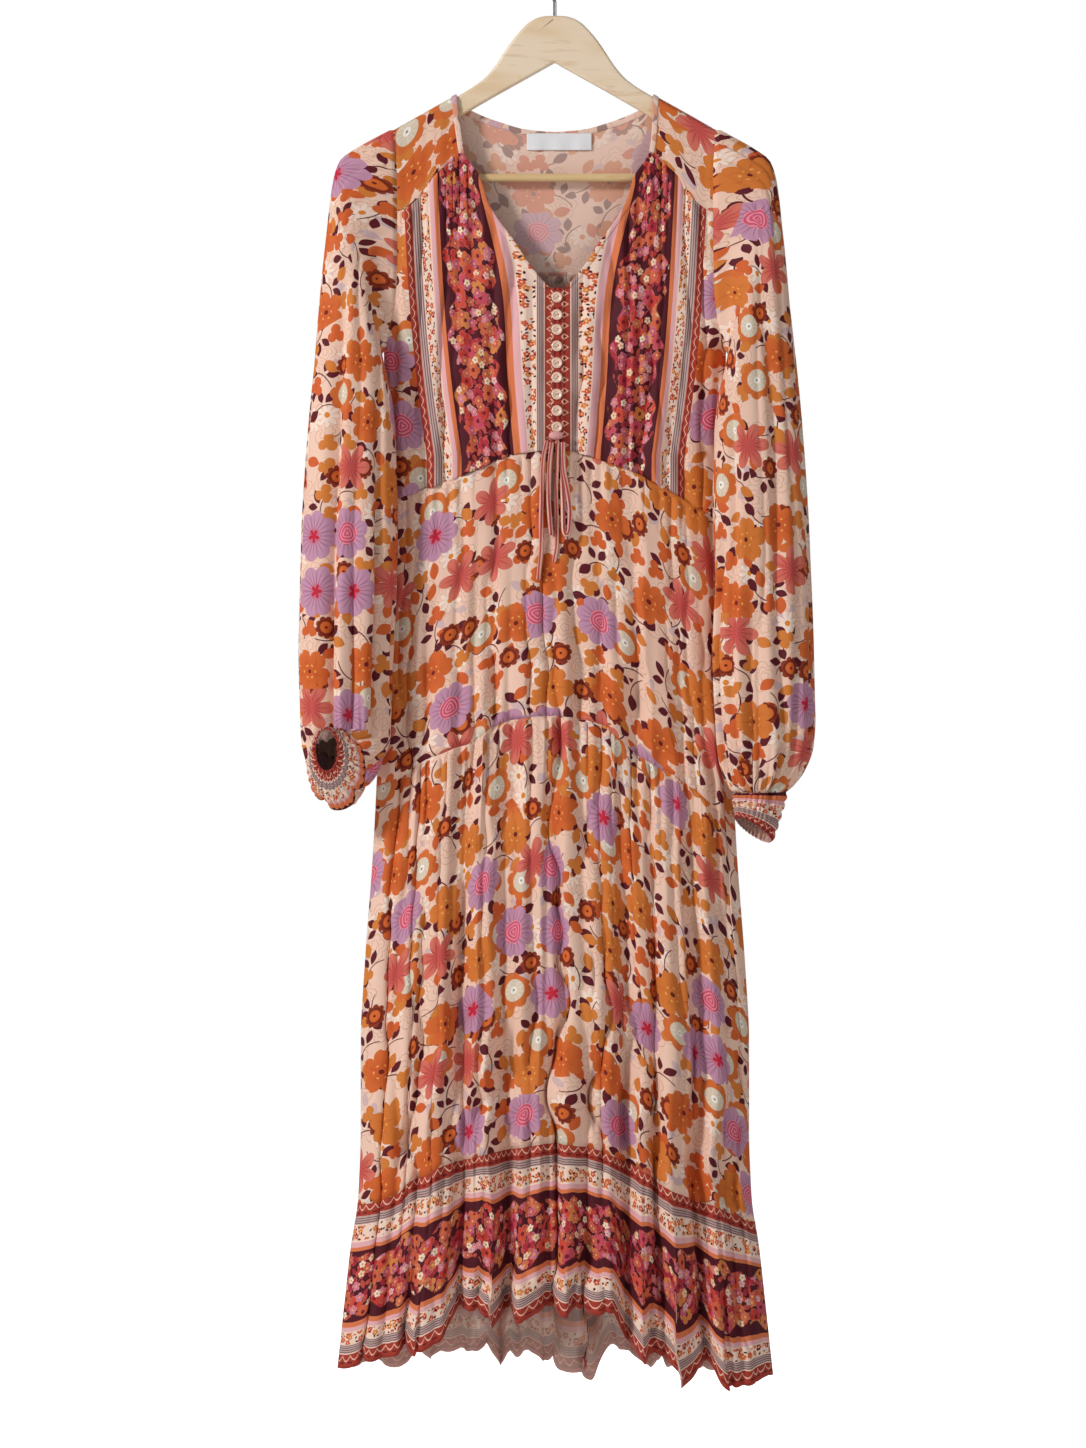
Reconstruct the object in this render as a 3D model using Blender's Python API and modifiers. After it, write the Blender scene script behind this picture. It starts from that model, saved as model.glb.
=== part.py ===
"""Maxi dress with long full sleeves, hanging on a wooden hanger.

Metres, +Z up, the dress facing -Y. The origin is the inner top of the hanger's hook, where a
rail bears. Every panel of cloth is a thin wall on one body form: a table of sections gives the
half width and the depth in front and behind at each height, and the seams cut that form.
"""

import math

import bmesh
import bpy
import numpy as np

WALL = 0.0012
BINDING_WALL = 0.0022
SEAM_GAP = 0.0003
TIER_GAP = 0.0007
ARMHOLE_GAP = 0.0009
SIDE_GAP = 0.00045
COLLECTION = "maxi_dress"


def table(names, *rows):
    """A table as a dictionary of its named columns."""
    return dict(zip(names.split(), np.array(rows, float).T))


# Hanger
HOOK_WIRE = 0.004
HOOK_INNER_RADIUS = 0.019
HOOK_TIP_ANGLE = -35.0
HOOK_THROAT_RADIUS = 0.009
HOOK_IN_WOOD = 0.016
HOLE_CLEAR = 0.0004
HOLE_DEEPER = 0.0010
WOOD_APEX = -0.062
WOOD_THICKNESS = 0.013
WOOD_EDGE_ROUND = 0.003
WOOD_UNDER_CLOTH = 0.0026
WOOD_UNDER_CLOTH_END = 0.205
WOOD_TOP = table(
    "across height",
    (0.0, -0.0620), (0.0100, -0.0623), (0.0185, -0.0642), (0.0280, -0.0690),
    (0.0370, -0.0775), (0.0452, -0.0870), (0.0522, -0.0966), (0.0600, -0.1085),
    (0.0675, -0.1195), (0.0765, -0.1300), (0.0880, -0.1392), (0.1000, -0.1467),
)
WOOD_TIP = table(
    "across height",
    (0.2160, -0.2123), (0.2200, -0.2155), (0.2225, -0.2220), (0.2225, -0.2400),
    (0.2190, -0.2495), (0.2110, -0.2530), (0.2000, -0.2525), (0.1920, -0.2495),
    (0.1860, -0.2430), (0.1800, -0.2300),
)
WOOD_LOWER = table(
    "across height",
    (0.1600, -0.2110), (0.1350, -0.1935), (0.1060, -0.1742), (0.0, -0.1137),
)
BAR_HEIGHT = -0.2408
BAR_RADIUS = 0.0045
BAR_HALF_LENGTH = 0.199

# Shoulder line that the cloth takes over the hanger's arms
RIDGE_START = 0.109
RIDGE_HEIGHT = -0.1493
RIDGE_SLOPE = 0.565
RIDGE_ROUND = 0.006

# Body form: half width, and depth in front and behind
BODY = table(
    "height half_width front back",
    (-0.188, 0.1790, 0.0095, 0.0095),
    (-0.240, 0.1770, 0.0120, 0.0110),
    (-0.300, 0.1765, 0.0150, 0.0135),
    (-0.360, 0.1775, 0.0180, 0.0165),
    (-0.400, 0.1820, 0.0205, 0.0185),
    (-0.430, 0.1890, 0.0220, 0.0200),
    (-0.530, 0.1865, 0.0250, 0.0230),
    (-0.610, 0.1850, 0.0272, 0.0255),
    (-0.750, 0.1895, 0.0305, 0.0290),
    (-0.900, 0.1965, 0.0345, 0.0330),
    (-0.984, 0.2008, 0.0380, 0.0370),
    (-1.127, 0.2112, 0.0430, 0.0420),
    (-1.193, 0.2145, 0.0450, 0.0440),
    (-1.292, 0.2145, 0.0485, 0.0480),
    (-1.369, 0.2175, 0.0520, 0.0520),
    (-1.422, 0.2255, 0.0560, 0.0560),
    (-1.488, 0.2330, 0.0600, 0.0600),
    (-1.600, 0.2450, 0.0650, 0.0660),
)
UNDERARM = -0.430
ARMHOLE_ROUND = 0.070
BELLY_POWER = 2.6
BELLY_ROUND = 0.55
FOLD_BELLY = 1.4

# Neck opening: half width of the finished V in front, height of the edge behind
NECK_CENTRE = 0.0028
NECK_FRONT = table(
    "height half_width",
    (-0.1493, 0.1090), (-0.2127, 0.1023), (-0.2400, 0.0855), (-0.2700, 0.0755),
    (-0.2900, 0.0635), (-0.3117, 0.0473), (-0.3330, 0.0340), (-0.3502, 0.0209),
    (-0.3640, 0.0085),
)
NECK_BACK = table(
    "across height",
    (0.0, -0.1896), (0.030, -0.1870), (0.060, -0.1790), (0.085, -0.1695),
    (0.100, -0.1610), (0.1074, -0.1528), (0.1085, -0.1502), (0.109, -0.1493),
)
NECK_BACK_COLUMNS = (0.995, 0.985, 0.93, 0.8, 0.6, 0.4, 0.2, 0.0)
BINDING_WIDTH = 0.0060
BINDING_GAP = 0.0005
BINDING_RISE = 0.0024
BINDING_SLANT_START = -0.190
BINDING_SLANT_REACH = 0.030
NECK_SHIFT_REACH = 0.05
PLACKET_HALF = 0.0072
PLACKET_TOP = -0.3652
PLACKET_RAISE = 0.0010
PLACKET_ROWS = 5

# Yoke seam in front, from the neck binding out to the armhole
YOKE_SEAM = table(
    "across height",
    (0.1080, -0.2155), (0.1150, -0.2205), (0.1358, -0.2385), (0.1436, -0.2523),
    (0.1529, -0.2660), (0.1655, -0.2765), (0.1764, -0.2800),
)
# Rows of the front panels: their heights at the centre front and at the outer edge
FRONT_ROWS = table(
    "centre side",
    (-0.2155, -0.2155), (-0.2350, -0.2205), (-0.2530, -0.2385), (-0.2700, -0.2523),
    (-0.2900, -0.2660), (-0.3117, -0.2765), (-0.3330, -0.2800), (-0.3502, -0.3050),
    (-0.3640, -0.3380), (-0.3664, -0.3600), (-0.4150, -0.4000), (-0.4700, -0.4350),
)
FRONT_COLUMNS = 12
BACK_ROWS = (0.0, 0.15, 0.34, 0.55, 0.78, 1.0)
BACK_COLUMNS = 20
BACK_YOKE_CENTRE = -0.3470
BACK_YOKE_RISE = 0.0100
YOKE_FRONT_ROWS = (1.0, 0.72, 0.45, 0.22, 0.09, 0.045, 0.018)
YOKE_BACK_ROWS = (0.0, 0.006, 0.018, 0.045, 0.14, 0.36, 0.66, 1.0)

# Heights of the seams across each face, from the left side (-1) to the right side (1)
FRONT_SEAMS = table(
    "across empire hip ruffle",
    (-1.00, -0.600, -0.915, -1.377),
    (-0.85, -0.592, -0.901, -1.369),
    (-0.70, -0.583, -0.882, -1.345),
    (-0.50, -0.569, -0.867, -1.327),
    (-0.25, -0.550, -0.841, -1.315),
    (0.00, -0.544, -0.836, -1.306),
    (0.25, -0.554, -0.846, -1.316),
    (0.50, -0.572, -0.885, -1.347),
    (0.70, -0.592, -0.907, -1.370),
    (0.85, -0.608, -0.928, -1.381),
    (1.00, -0.622, -0.965, -1.398),
)
BACK_SEAMS = table(
    "across empire hip ruffle",
    (-1.00, -0.600, -0.915, -1.377),
    (-0.70, -0.596, -0.904, -1.368),
    (-0.35, -0.592, -0.896, -1.360),
    (0.00, -0.592, -0.895, -1.360),
    (0.35, -0.596, -0.902, -1.364),
    (0.70, -0.606, -0.925, -1.378),
    (1.00, -0.622, -0.965, -1.398),
)
FRONT_HEM = table(
    "across height",
    (-1.00, -1.557), (-0.85, -1.548), (-0.70, -1.537), (-0.54, -1.521), (-0.41, -1.494),
    (-0.23, -1.508), (-0.08, -1.491), (0.15, -1.493), (0.27, -1.488), (0.34, -1.534),
    (0.50, -1.552), (0.63, -1.571), (0.70, -1.554), (0.78, -1.576), (0.91, -1.570),
    (1.00, -1.565),
)
BACK_HEM = table(
    "across height",
    (-1.00, -1.557), (-0.70, -1.556), (-0.45, -1.541), (-0.33, -1.552), (-0.20, -1.556),
    (-0.12, -1.549), (0.00, -1.559), (0.18, -1.572), (0.26, -1.546), (0.35, -1.552),
    (0.70, -1.566), (1.00, -1.565),
)

# Long folds of the skirt: place across at the hip seam and at the hem, depth at the hem, width
FRONT_FOLDS = table(
    "top bottom depth width",
    (-0.84, -0.80, 0.010, 0.055),
    (-0.52, -0.44, 0.017, 0.060),
    (-0.28, -0.23, 0.016, 0.050),
    (-0.05, -0.05, 0.012, 0.050),
    (0.15, 0.14, 0.010, 0.045),
    (0.36, 0.34, 0.020, 0.055),
    (0.54, 0.48, 0.015, 0.045),
    (0.76, 0.68, 0.017, 0.050),
    (0.90, 0.86, 0.009, 0.040),
)
BACK_FOLDS = table(
    "top bottom depth width",
    (-0.88, -0.85, 0.009, 0.045),
    (-0.66, -0.62, 0.016, 0.055),
    (-0.40, -0.38, 0.014, 0.050),
    (-0.17, -0.15, 0.018, 0.060),
    (0.08, 0.10, 0.013, 0.050),
    (0.30, 0.33, 0.017, 0.055),
    (0.57, 0.56, 0.014, 0.050),
    (0.82, 0.80, 0.011, 0.045),
)
FOLD_START = -0.850
FOLD_END = -1.560
FOLD_TOP_SHARE = 0.30
HEM_LIFT = 0.35

# Soft creases of the waist panel: place, depth, width, and the heights between which they lie
HIP_FOLDS = table(
    "across depth width top bottom",
    (-0.75, 0.0045, 0.060, -0.60, -0.90),
    (-0.46, 0.0050, 0.050, -0.62, -0.88),
    (-0.26, 0.0035, 0.045, -0.68, -0.87),
    (0.12, 0.0035, 0.045, -0.70, -0.86),
    (0.46, 0.0050, 0.050, -0.60, -0.90),
    (0.72, 0.0045, 0.060, -0.62, -0.92),
)
BODICE_GATHER = 0.0015
BODICE_GATHER_REACH = 0.18
BACK_GATHER = 0.0016
BACK_GATHER_REACH = 0.06
BACK_GATHER_HALF = 0.75
# Gathers below each seam: how far they stand, and how far down they fade
GATHERS = {"empire": (0.0012, 0.030), "hip": (0.0017, 0.045), "ruffle": (0.0018, 0.030)}
PANEL_COLUMNS = 60
HIP_COLUMNS = 30
HIP_ROWS = (0.0, 0.3, 0.65, 1.0)
SKIRT_ROWS = (0.0, 0.07, 0.25, 0.6, 1.0)
RUFFLE_ROWS = (0.0, 0.14, 0.5, 1.0)

# Sleeve rings: the point on the crown side, the point on the underarm side, how far the front
# reaches from the middle and how much it is lifted, and how square the ring is (less is squarer)
CAP_RINGS = table(
    "crown_x crown_y crown_z under_x under_y under_z reach lift square",
    (0.2010, 0.000, -0.2008, 0.1917, -0.008, -0.4380, 0.0180, 0.0, 0.55),
    (0.2215, 0.000, -0.2124, 0.1895, -0.016, -0.4480, 0.0205, 0.0, 0.55),
    (0.2370, -0.001, -0.2245, 0.1865, -0.021, -0.4590, 0.0230, 0.0, 0.60),
    (0.2445, -0.004, -0.2480, 0.1830, -0.024, -0.4720, 0.0250, 0.0, 0.70),
    (0.2500, -0.010, -0.2950, 0.1795, -0.026, -0.4900, 0.0275, 0.0, 0.80),
    (0.2590, -0.019, -0.3850, 0.1760, -0.028, -0.5300, 0.0300, 0.0, 0.90),
    (0.2705, -0.027, -0.5200, 0.1755, -0.030, -0.5950, 0.0310, 0.0, 1.00),
    (0.2785, -0.031, -0.6500, 0.1790, -0.032, -0.6800, 0.0315, 0.0, 1.00),
)
LEFT_END_RINGS = table(
    "crown_x crown_y crown_z under_x under_y under_z reach lift square",
    (0.2810, -0.033, -0.7600, 0.1838, -0.034, -0.7700, 0.0325, 0.0, 1.00),
    (0.2775, -0.033, -0.8320, 0.1860, -0.034, -0.8360, 0.0340, 0.0, 1.00),
    (0.2750, -0.034, -0.8643, 0.1865, -0.034, -0.8643, 0.0338, 0.0123, 1.00),
    (0.2715, -0.037, -0.8788, 0.1905, -0.037, -0.8788, 0.0297, 0.0268, 1.00),
    (0.2695, -0.046, -0.8900, 0.1990, -0.046, -0.8900, 0.0202, 0.0380, 1.00),
    (0.2695, -0.056, -0.8960, 0.2080, -0.056, -0.8960, 0.0094, 0.0440, 1.00),
)
RIGHT_END_RINGS = table(
    "crown_x crown_y crown_z under_x under_y under_z reach lift square",
    (0.2822, -0.033, -0.7650, 0.1775, -0.035, -0.7750, 0.0325, 0.0, 1.00),
    (0.2820, -0.033, -0.8350, 0.1790, -0.035, -0.8400, 0.0335, 0.0, 1.00),
    (0.2790, -0.033, -0.8680, 0.1815, -0.035, -0.8760, 0.0325, 0.0, 1.00),
    (0.2700, -0.033, -0.8980, 0.1885, -0.035, -0.9030, 0.0290, 0.0, 1.00),
    (0.2545, -0.033, -0.9200, 0.1975, -0.035, -0.9215, 0.0240, 0.0, 1.00),
)
LEFT_CUFF_RINGS = table(
    "crown_x crown_y crown_z under_x under_y under_z reach lift square",
    (0.2680, -0.0670, -0.8850, 0.2260, -0.0670, -0.8850, 0.0070, 0.0330, 1.00),
    (0.2620, -0.0750, -0.8735, 0.2385, -0.0750, -0.8735, 0.0050, 0.0225, 1.00),
)
RIGHT_CUFF_RINGS = table(
    "crown_x crown_y crown_z under_x under_y under_z reach lift square",
    (0.2455, -0.0330, -0.9500, 0.1990, -0.0340, -0.9370, 0.0200, 0.003, 1.00),
    (0.2376, -0.0330, -0.9735, 0.2000, -0.0330, -0.9500, 0.0165, 0.007, 1.00),
)
SLEEVE_COLUMNS = 22
LEFT_SPLIT_RING = 7
SPLIT_GAP = 0.0005
RING_CLOSER = 0.22
SLEEVE_FOLDS = table(
    "turn depth width",
    (0.19, 0.006, 0.035),
    (0.36, 0.004, 0.030),
    (0.62, 0.005, 0.035),
    (0.84, 0.005, 0.035),
)
SLEEVE_FOLD_FULL = 0.45
SLEEVE_GATHER = 0.0013
CUFF_GAP = 0.0009
CUFF_GATHER = 0.0016

# Small pieces
LABEL_WIDTH = 0.072
LABEL_HEIGHT = 0.0187
LABEL_ACROSS = 0.0048
LABEL_MIDDLE = -0.2003
LABEL_WALL = 0.0006
BUTTON_ACROSS = 0.0022
BUTTON_HEIGHTS = (
    -0.3744, -0.3937, -0.4102, -0.4283, -0.4470, -0.4630, -0.4817, -0.4998, -0.5180,
)
BUTTON_PROFILE = table(
    "radius height",
    (0.0, 0.0012), (0.0036, 0.0012), (0.0047, 0.0022), (0.0060, 0.0013), (0.0052, 0.0),
    (0.0, 0.0),
)
BUTTON_STEPS = 10
BUTTON_CLEAR = 0.00045
TIE_RADIUS = 0.0025
KNOT_HALF = (0.0080, 0.0045, 0.0048)
KNOT_MIDDLE = (0.0010, -0.0318, -0.5275)
TIE_ROUTES = {
    "tail_left": (
        (-0.0095, -0.0320, -0.5350), (-0.0122, -0.0304, -0.5500), (-0.0143, -0.0304, -0.5812),
        (-0.0154, -0.0314, -0.6241), (-0.0150, -0.0320, -0.6494), (-0.0182, -0.0328, -0.6846),
    ),
    "loop_left": (
        (-0.0034, -0.0360, -0.5350), (-0.0058, -0.0360, -0.5603), (-0.0070, -0.0364, -0.5955),
        (-0.0050, -0.0372, -0.6270), (-0.0042, -0.0368, -0.6330), (-0.0040, -0.0345, -0.6358),
        (-0.0042, -0.0320, -0.6330), (-0.0050, -0.0313, -0.6270), (-0.0068, -0.0306, -0.5955),
        (-0.0052, -0.0299, -0.5650), (-0.0034, -0.0302, -0.5350),
    ),
    "loop_right": (
        (0.0088, -0.0360, -0.5350), (0.0098, -0.0362, -0.5614), (0.0137, -0.0350, -0.5867),
        (0.0164, -0.0338, -0.6120), (0.0158, -0.0334, -0.6300), (0.0146, -0.0334, -0.6350),
        (0.0124, -0.0334, -0.6372), (0.0102, -0.0334, -0.6350), (0.0091, -0.0330, -0.6280),
        (0.0086, -0.0312, -0.6050), (0.0082, -0.0306, -0.5800), (0.0080, -0.0300, -0.5600),
        (0.0086, -0.0302, -0.5350),
    ),
    "tail_right": (
        (0.0027, -0.0330, -0.5350), (0.0022, -0.0322, -0.5614), (0.0010, -0.0320, -0.5867),
        (0.0016, -0.0322, -0.6241), (0.0020, -0.0322, -0.6480), (-0.0005, -0.0324, -0.6648),
    ),
}
TIE_POINTS = {"tail_left": 14, "loop_left": 24, "loop_right": 26, "tail_right": 12}

COLOURS = {
    "print": ((0.80, 0.50, 0.38), 0.75, 0.0),
    "border": ((0.22, 0.03, 0.04), 0.75, 0.0),
    "cuff": ((0.70, 0.25, 0.16), 0.75, 0.0),
    "label": ((0.85, 0.85, 0.87), 0.60, 0.0),
    "button": ((0.84, 0.60, 0.46), 0.35, 0.0),
    "wood": ((0.84, 0.66, 0.44), 0.45, 0.0),
    "bar": ((0.72, 0.50, 0.28), 0.45, 0.0),
    "steel": ((0.60, 0.60, 0.62), 0.25, 1.0),
}


def clear_scene():
    for obj in list(bpy.data.objects):
        bpy.data.objects.remove(obj)


def material(name):
    colour, roughness, metallic = COLOURS[name]
    made = bpy.data.materials.get(name) or bpy.data.materials.new(name)
    made.use_nodes = True
    shader = made.node_tree.nodes["Principled BSDF"]
    shader.inputs["Base Color"].default_value = (*colour, 1.0)
    shader.inputs["Roughness"].default_value = roughness
    shader.inputs["Metallic"].default_value = metallic
    return made


def collection(name):
    found = bpy.data.collections.get(name)
    if found is None:
        found = bpy.data.collections.new(name)
        bpy.context.scene.collection.children.link(found)
    return found


def place(name, data, look):
    obj = bpy.data.objects.new(name, data)
    collection(COLLECTION).objects.link(obj)
    data.materials.clear()
    data.materials.append(material(look))
    return obj


def blend(at, knots, values):
    """Monotone cubic curve through the knots, held level beyond its ends."""
    if knots[0] > knots[-1]:
        knots, values = knots[::-1], values[::-1]
    step = np.diff(knots)
    slope = np.diff(values) / step
    before, after = slope[:-1], slope[1:]
    turning = before * after <= 0
    total = np.where(turning, 1.0, before + after)
    tangent = np.concatenate(
        [slope[:1], np.where(turning, 0.0, 2 * before * after / total), slope[-1:]]
    )
    at = np.clip(at, knots[0], knots[-1])
    i = np.clip(np.searchsorted(knots, at, side="right") - 1, 0, len(step) - 1)
    t = (at - knots[i]) / step[i]
    return (
        (2 * t**3 - 3 * t**2 + 1) * values[i]
        + (t**3 - 2 * t**2 + t) * step[i] * tangent[i]
        + (3 * t**2 - 2 * t**3) * values[i + 1]
        + (t**3 - t**2) * step[i] * tangent[i + 1]
    )


def read(source, along, wanted, at):
    return blend(at, source[along], source[wanted])


def ease(at):
    at = np.clip(at, 0.0, 1.0)
    return at * at * (3 - 2 * at)


def spread(count):
    """Places across a face from -1 to 1, closer together towards the sides."""
    along = np.linspace(-1, 1, count + 1)
    return 0.4 * along + 0.6 * np.sin(0.5 * math.pi * along)


def ridge(across):
    return RIDGE_HEIGHT - RIDGE_SLOPE * (np.abs(across) - RIDGE_START)


def body_y(across, height, face):
    """Depth of the body form: face is -1 in front and 1 behind."""
    half = read(BODY, "height", "half_width", height)
    depth = read(BODY, "height", "front" if face < 0 else "back", height)
    share = np.clip(np.abs(across) / half, 0, 1)
    belly = (1 - share**BELLY_POWER) ** BELLY_ROUND
    edge = np.sqrt(np.clip((height - UNDERARM) / ARMHOLE_ROUND, 0, 1))
    drop = np.clip((ridge(across) - height) / RIDGE_ROUND, 0, 1)
    over = np.sqrt(1 - (1 - drop) ** 2)
    return face * depth * over * (edge + (1 - edge) * belly)


def side_seam(y, face):
    """Keeps each face on its own side of the side seam."""
    return face * np.maximum(face * y, SIDE_GAP)


def seam(source, wanted, across):
    """Height of a seam, straight between the waist panel's columns."""
    coarse = spread(HIP_COLUMNS)
    return np.interp(across, coarse, read(source, "across", wanted, coarse))


def pulse(at, middle, width):
    return np.exp(-(((at - middle) / width) ** 2))


def cloth(name, points, look, keep=None, ring=False, wall=WALL):
    """A grid of points (rows, columns, 3) as a wall of cloth, centred on the grid."""
    rows, columns = points.shape[:2]
    keep = np.ones((rows, columns), bool) if keep is None else keep
    number = np.cumsum(keep.ravel()).reshape(keep.shape) - 1
    faces = []
    for i in range(rows - 1):
        for j in range(columns if ring else columns - 1):
            corners = [(i, j), (i + 1, j), (i + 1, (j + 1) % columns), (i, (j + 1) % columns)]
            if all(keep[c] for c in corners):
                faces.append([int(number[c]) for c in corners])
    mesh = bpy.data.meshes.new(name)
    mesh.from_pydata(points[keep].tolist(), [], faces)
    mesh.shade_smooth()
    obj = place(name, mesh, look)
    solid = obj.modifiers.new("wall", "SOLIDIFY")
    solid.thickness = wall
    solid.offset = 0.0
    return obj


def fold_push(source, across, height):
    """How far the long folds draw the cloth inwards, deeper towards the hem."""
    fall = np.clip((FOLD_START - height) / (FOLD_START - FOLD_END), 0, 1)
    grown = FOLD_TOP_SHARE + (1 - FOLD_TOP_SHARE) * ease(fall)
    total = np.zeros_like(across)
    for top, bottom, depth, width in zip(*source.values()):
        total = total + depth * pulse(across, top + (bottom - top) * fall, width)
    return total * grown


def hip_push(across, height):
    total = np.zeros_like(across)
    for middle, depth, width, top, bottom in zip(*HIP_FOLDS.values()):
        fall = (top - height) / (top - bottom)
        total = total + depth * pulse(across, middle, width) * ease(fall)
    return total


def tier(name, face, seams, folds, hem, top, bottom, rows, columns, look):
    """One tier of the body, between two seams, on one face."""
    across, share = np.meshgrid(spread(columns), rows)
    high = seam(seams, top, across) - TIER_GAP
    if bottom == "hem":
        low = read(hem, "across", "height", across)
        low = low + HEM_LIFT * fold_push(folds, across, low)
    else:
        low = seam(seams, bottom, across)
    height = high + (low - high) * share
    half = read(BODY, "height", "half_width", height)
    x = half * across
    y = body_y(x, height, face)
    belly = np.clip(FOLD_BELLY * (1 - np.abs(across) ** BELLY_POWER) ** BELLY_ROUND, 0, 1)
    if bottom == "hip":
        y = y - face * belly * hip_push(across * -face, height)
    else:
        y = y - face * belly * fold_push(folds, across, height)
    size, reach = GATHERS[top]
    sign = (-1.0) ** np.arange(columns + 1)
    y = y + face * belly * size * sign * np.exp(-(high - height) / reach)
    y = side_seam(y, face)
    return cloth(name, np.stack([x, y, height], -1), look)


def neck_shift(half, height):
    """How far the front neck and placket sit to the right of the middle."""
    near = 1 - np.clip(half / YOKE_SEAM["across"][-1], 0, 1) ** 2
    return NECK_CENTRE * near * ease((RIDGE_HEIGHT - height) / NECK_SHIFT_REACH)


def outer_edge(height):
    """Half width of a front panel: yoke seam, then armhole, then side seam."""
    arm = read(BODY, "height", "half_width", height) - SEAM_GAP
    on_yoke = np.interp(height, YOKE_SEAM["height"][::-1], YOKE_SEAM["across"][::-1])
    return np.where(height > YOKE_SEAM["height"][-1] - 0.0001, on_yoke, arm)


def front_bodice(name, side):
    """Front panel of one side, from the centre front (0) to the side (1)."""
    along = np.linspace(0, 1, FRONT_COLUMNS + 1)
    lowest = seam(FRONT_SEAMS, "empire", np.zeros(1))[0]
    edge = read(BODY, "height", "half_width", lowest)
    low = seam(FRONT_SEAMS, "empire", side * along + neck_shift(along * edge, lowest) / edge)
    centre, outer = FRONT_ROWS["centre"][:, None], FRONT_ROWS["side"][:, None]
    height = np.concatenate([centre + (outer - centre) * along, low[None]])
    neck = read(NECK_FRONT, "height", "half_width", height) + BINDING_WIDTH + BINDING_GAP
    inner = np.where(height[:, :1] < PLACKET_TOP, PLACKET_HALF + SEAM_GAP, neck[:, :1])
    outer = outer_edge(height[:, -1:])
    half = inner + (outer - inner) * along
    y = body_y(half, height, -1)
    sign = (-1.0) ** np.arange(FRONT_COLUMNS + 1)
    drop = np.clip((YOKE_SEAM["height"][0] - height) / BODICE_GATHER_REACH, 0, 1)
    y = y - BODICE_GATHER * sign * np.sin(math.pi * along) * (1 - drop)
    x = side * half + neck_shift(half, height)
    return cloth(name, np.stack([x, side_seam(y, -1), height], -1), "border")


def back_bodice():
    across, share = np.meshgrid(spread(BACK_COLUMNS), BACK_ROWS)
    high = back_yoke_seam(across) - SEAM_GAP
    low = seam(BACK_SEAMS, "empire", across)
    height = high + (low - high) * share
    half = read(BODY, "height", "half_width", height) - SEAM_GAP * (height > UNDERARM)
    x = half * across
    y = body_y(x, height, 1)
    sign = (-1.0) ** np.arange(BACK_COLUMNS + 1)
    fade = np.exp(-(high - height) / BACK_GATHER_REACH) * (np.abs(across) < BACK_GATHER_HALF)
    y = side_seam(y + BACK_GATHER * sign * fade, 1)
    return cloth("bodice_back", np.stack([x, y, height], -1), "print")


def back_yoke_seam(across):
    return BACK_YOKE_CENTRE + BACK_YOKE_RISE * across**2


def neck_back_height(share):
    return read(NECK_BACK, "across", "height", np.abs(share) * RIDGE_START)


def back_neck_edge(share):
    """Upper edge of the yoke behind the neck, under the binding."""
    return neck_back_height(share) - BINDING_WIDTH + BINDING_RISE * np.abs(share) ** 8


def yoke_front_heights(along, share):
    """Heights of the yoke's front rows, from the seam (1) up to the ridge (0)."""
    low = YOKE_SEAM["height"][along] + SEAM_GAP
    top = ridge(strap_across()[along])
    return top + (low - top) * share


def strap_across():
    """Places across one shoulder strap, at the ridge, one for each point of the yoke seam."""
    start = RIDGE_START + BINDING_WIDTH + BINDING_GAP
    arm = BODY["half_width"][0] - SEAM_GAP
    seam_across = YOKE_SEAM["across"]
    along = (seam_across - seam_across[0]) / (seam_across[-1] - seam_across[0])
    return start + (arm - start) * along


def yoke():
    """One piece: across the back, over both shoulders and down to the front yoke seams."""
    strap = strap_across()
    count = len(strap)
    along = (strap - strap[0]) / (strap[-1] - strap[0])
    centre = np.array(NECK_BACK_COLUMNS)
    centre = np.concatenate([-centre, centre[-2::-1]])
    side = np.concatenate([-np.ones(count), np.zeros(len(centre)), np.ones(count)])
    on_strap = side != 0
    seam_across = YOKE_SEAM["across"]
    on_seam = (seam_across - seam_across[0]) / (seam_across[-1] - seam_across[0])
    rows = []
    for share in YOKE_FRONT_ROWS:
        height = yoke_front_heights(np.arange(count), share)
        neck = read(NECK_FRONT, "height", "half_width", height[0]) + BINDING_WIDTH + BINDING_GAP
        arm = read(BODY, "height", "half_width", height) - SEAM_GAP
        half = neck + (arm - neck) * (along * (1 - share) + on_seam * share)
        y = body_y(half, height, -1)
        shift = neck_shift(half, height)
        right = np.stack([half + shift, y, height], -1)
        left = np.stack([-half + shift, y, height], -1)[::-1]
        rows.append(np.concatenate([left, np.zeros((len(centre), 3)), right]))
    for share in YOKE_BACK_ROWS:
        half = np.concatenate([strap[::-1], strap[0] * np.abs(centre), strap])
        top = np.where(on_strap, ridge(half), back_neck_edge(half / strap[0]))
        low = back_yoke_seam(half / strap[-1])
        height = top + (low - top) * share
        arm = read(BODY, "height", "half_width", height) - SEAM_GAP
        full = np.concatenate([along[::-1], 0 * centre, along])
        half = np.where(on_strap, strap[0] + (arm - strap[0]) * full, half)
        sign = np.where(on_strap, side, np.concatenate([[0] * count, np.sign(centre), [0] * count]))
        rows.append(np.stack([sign * half, body_y(half, height, 1), height], -1))
    points = np.array(rows)
    keep = np.ones(points.shape[:2], bool)
    keep[: len(YOKE_FRONT_ROWS)] = on_strap
    return cloth("yoke", points, "print", keep)


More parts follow.
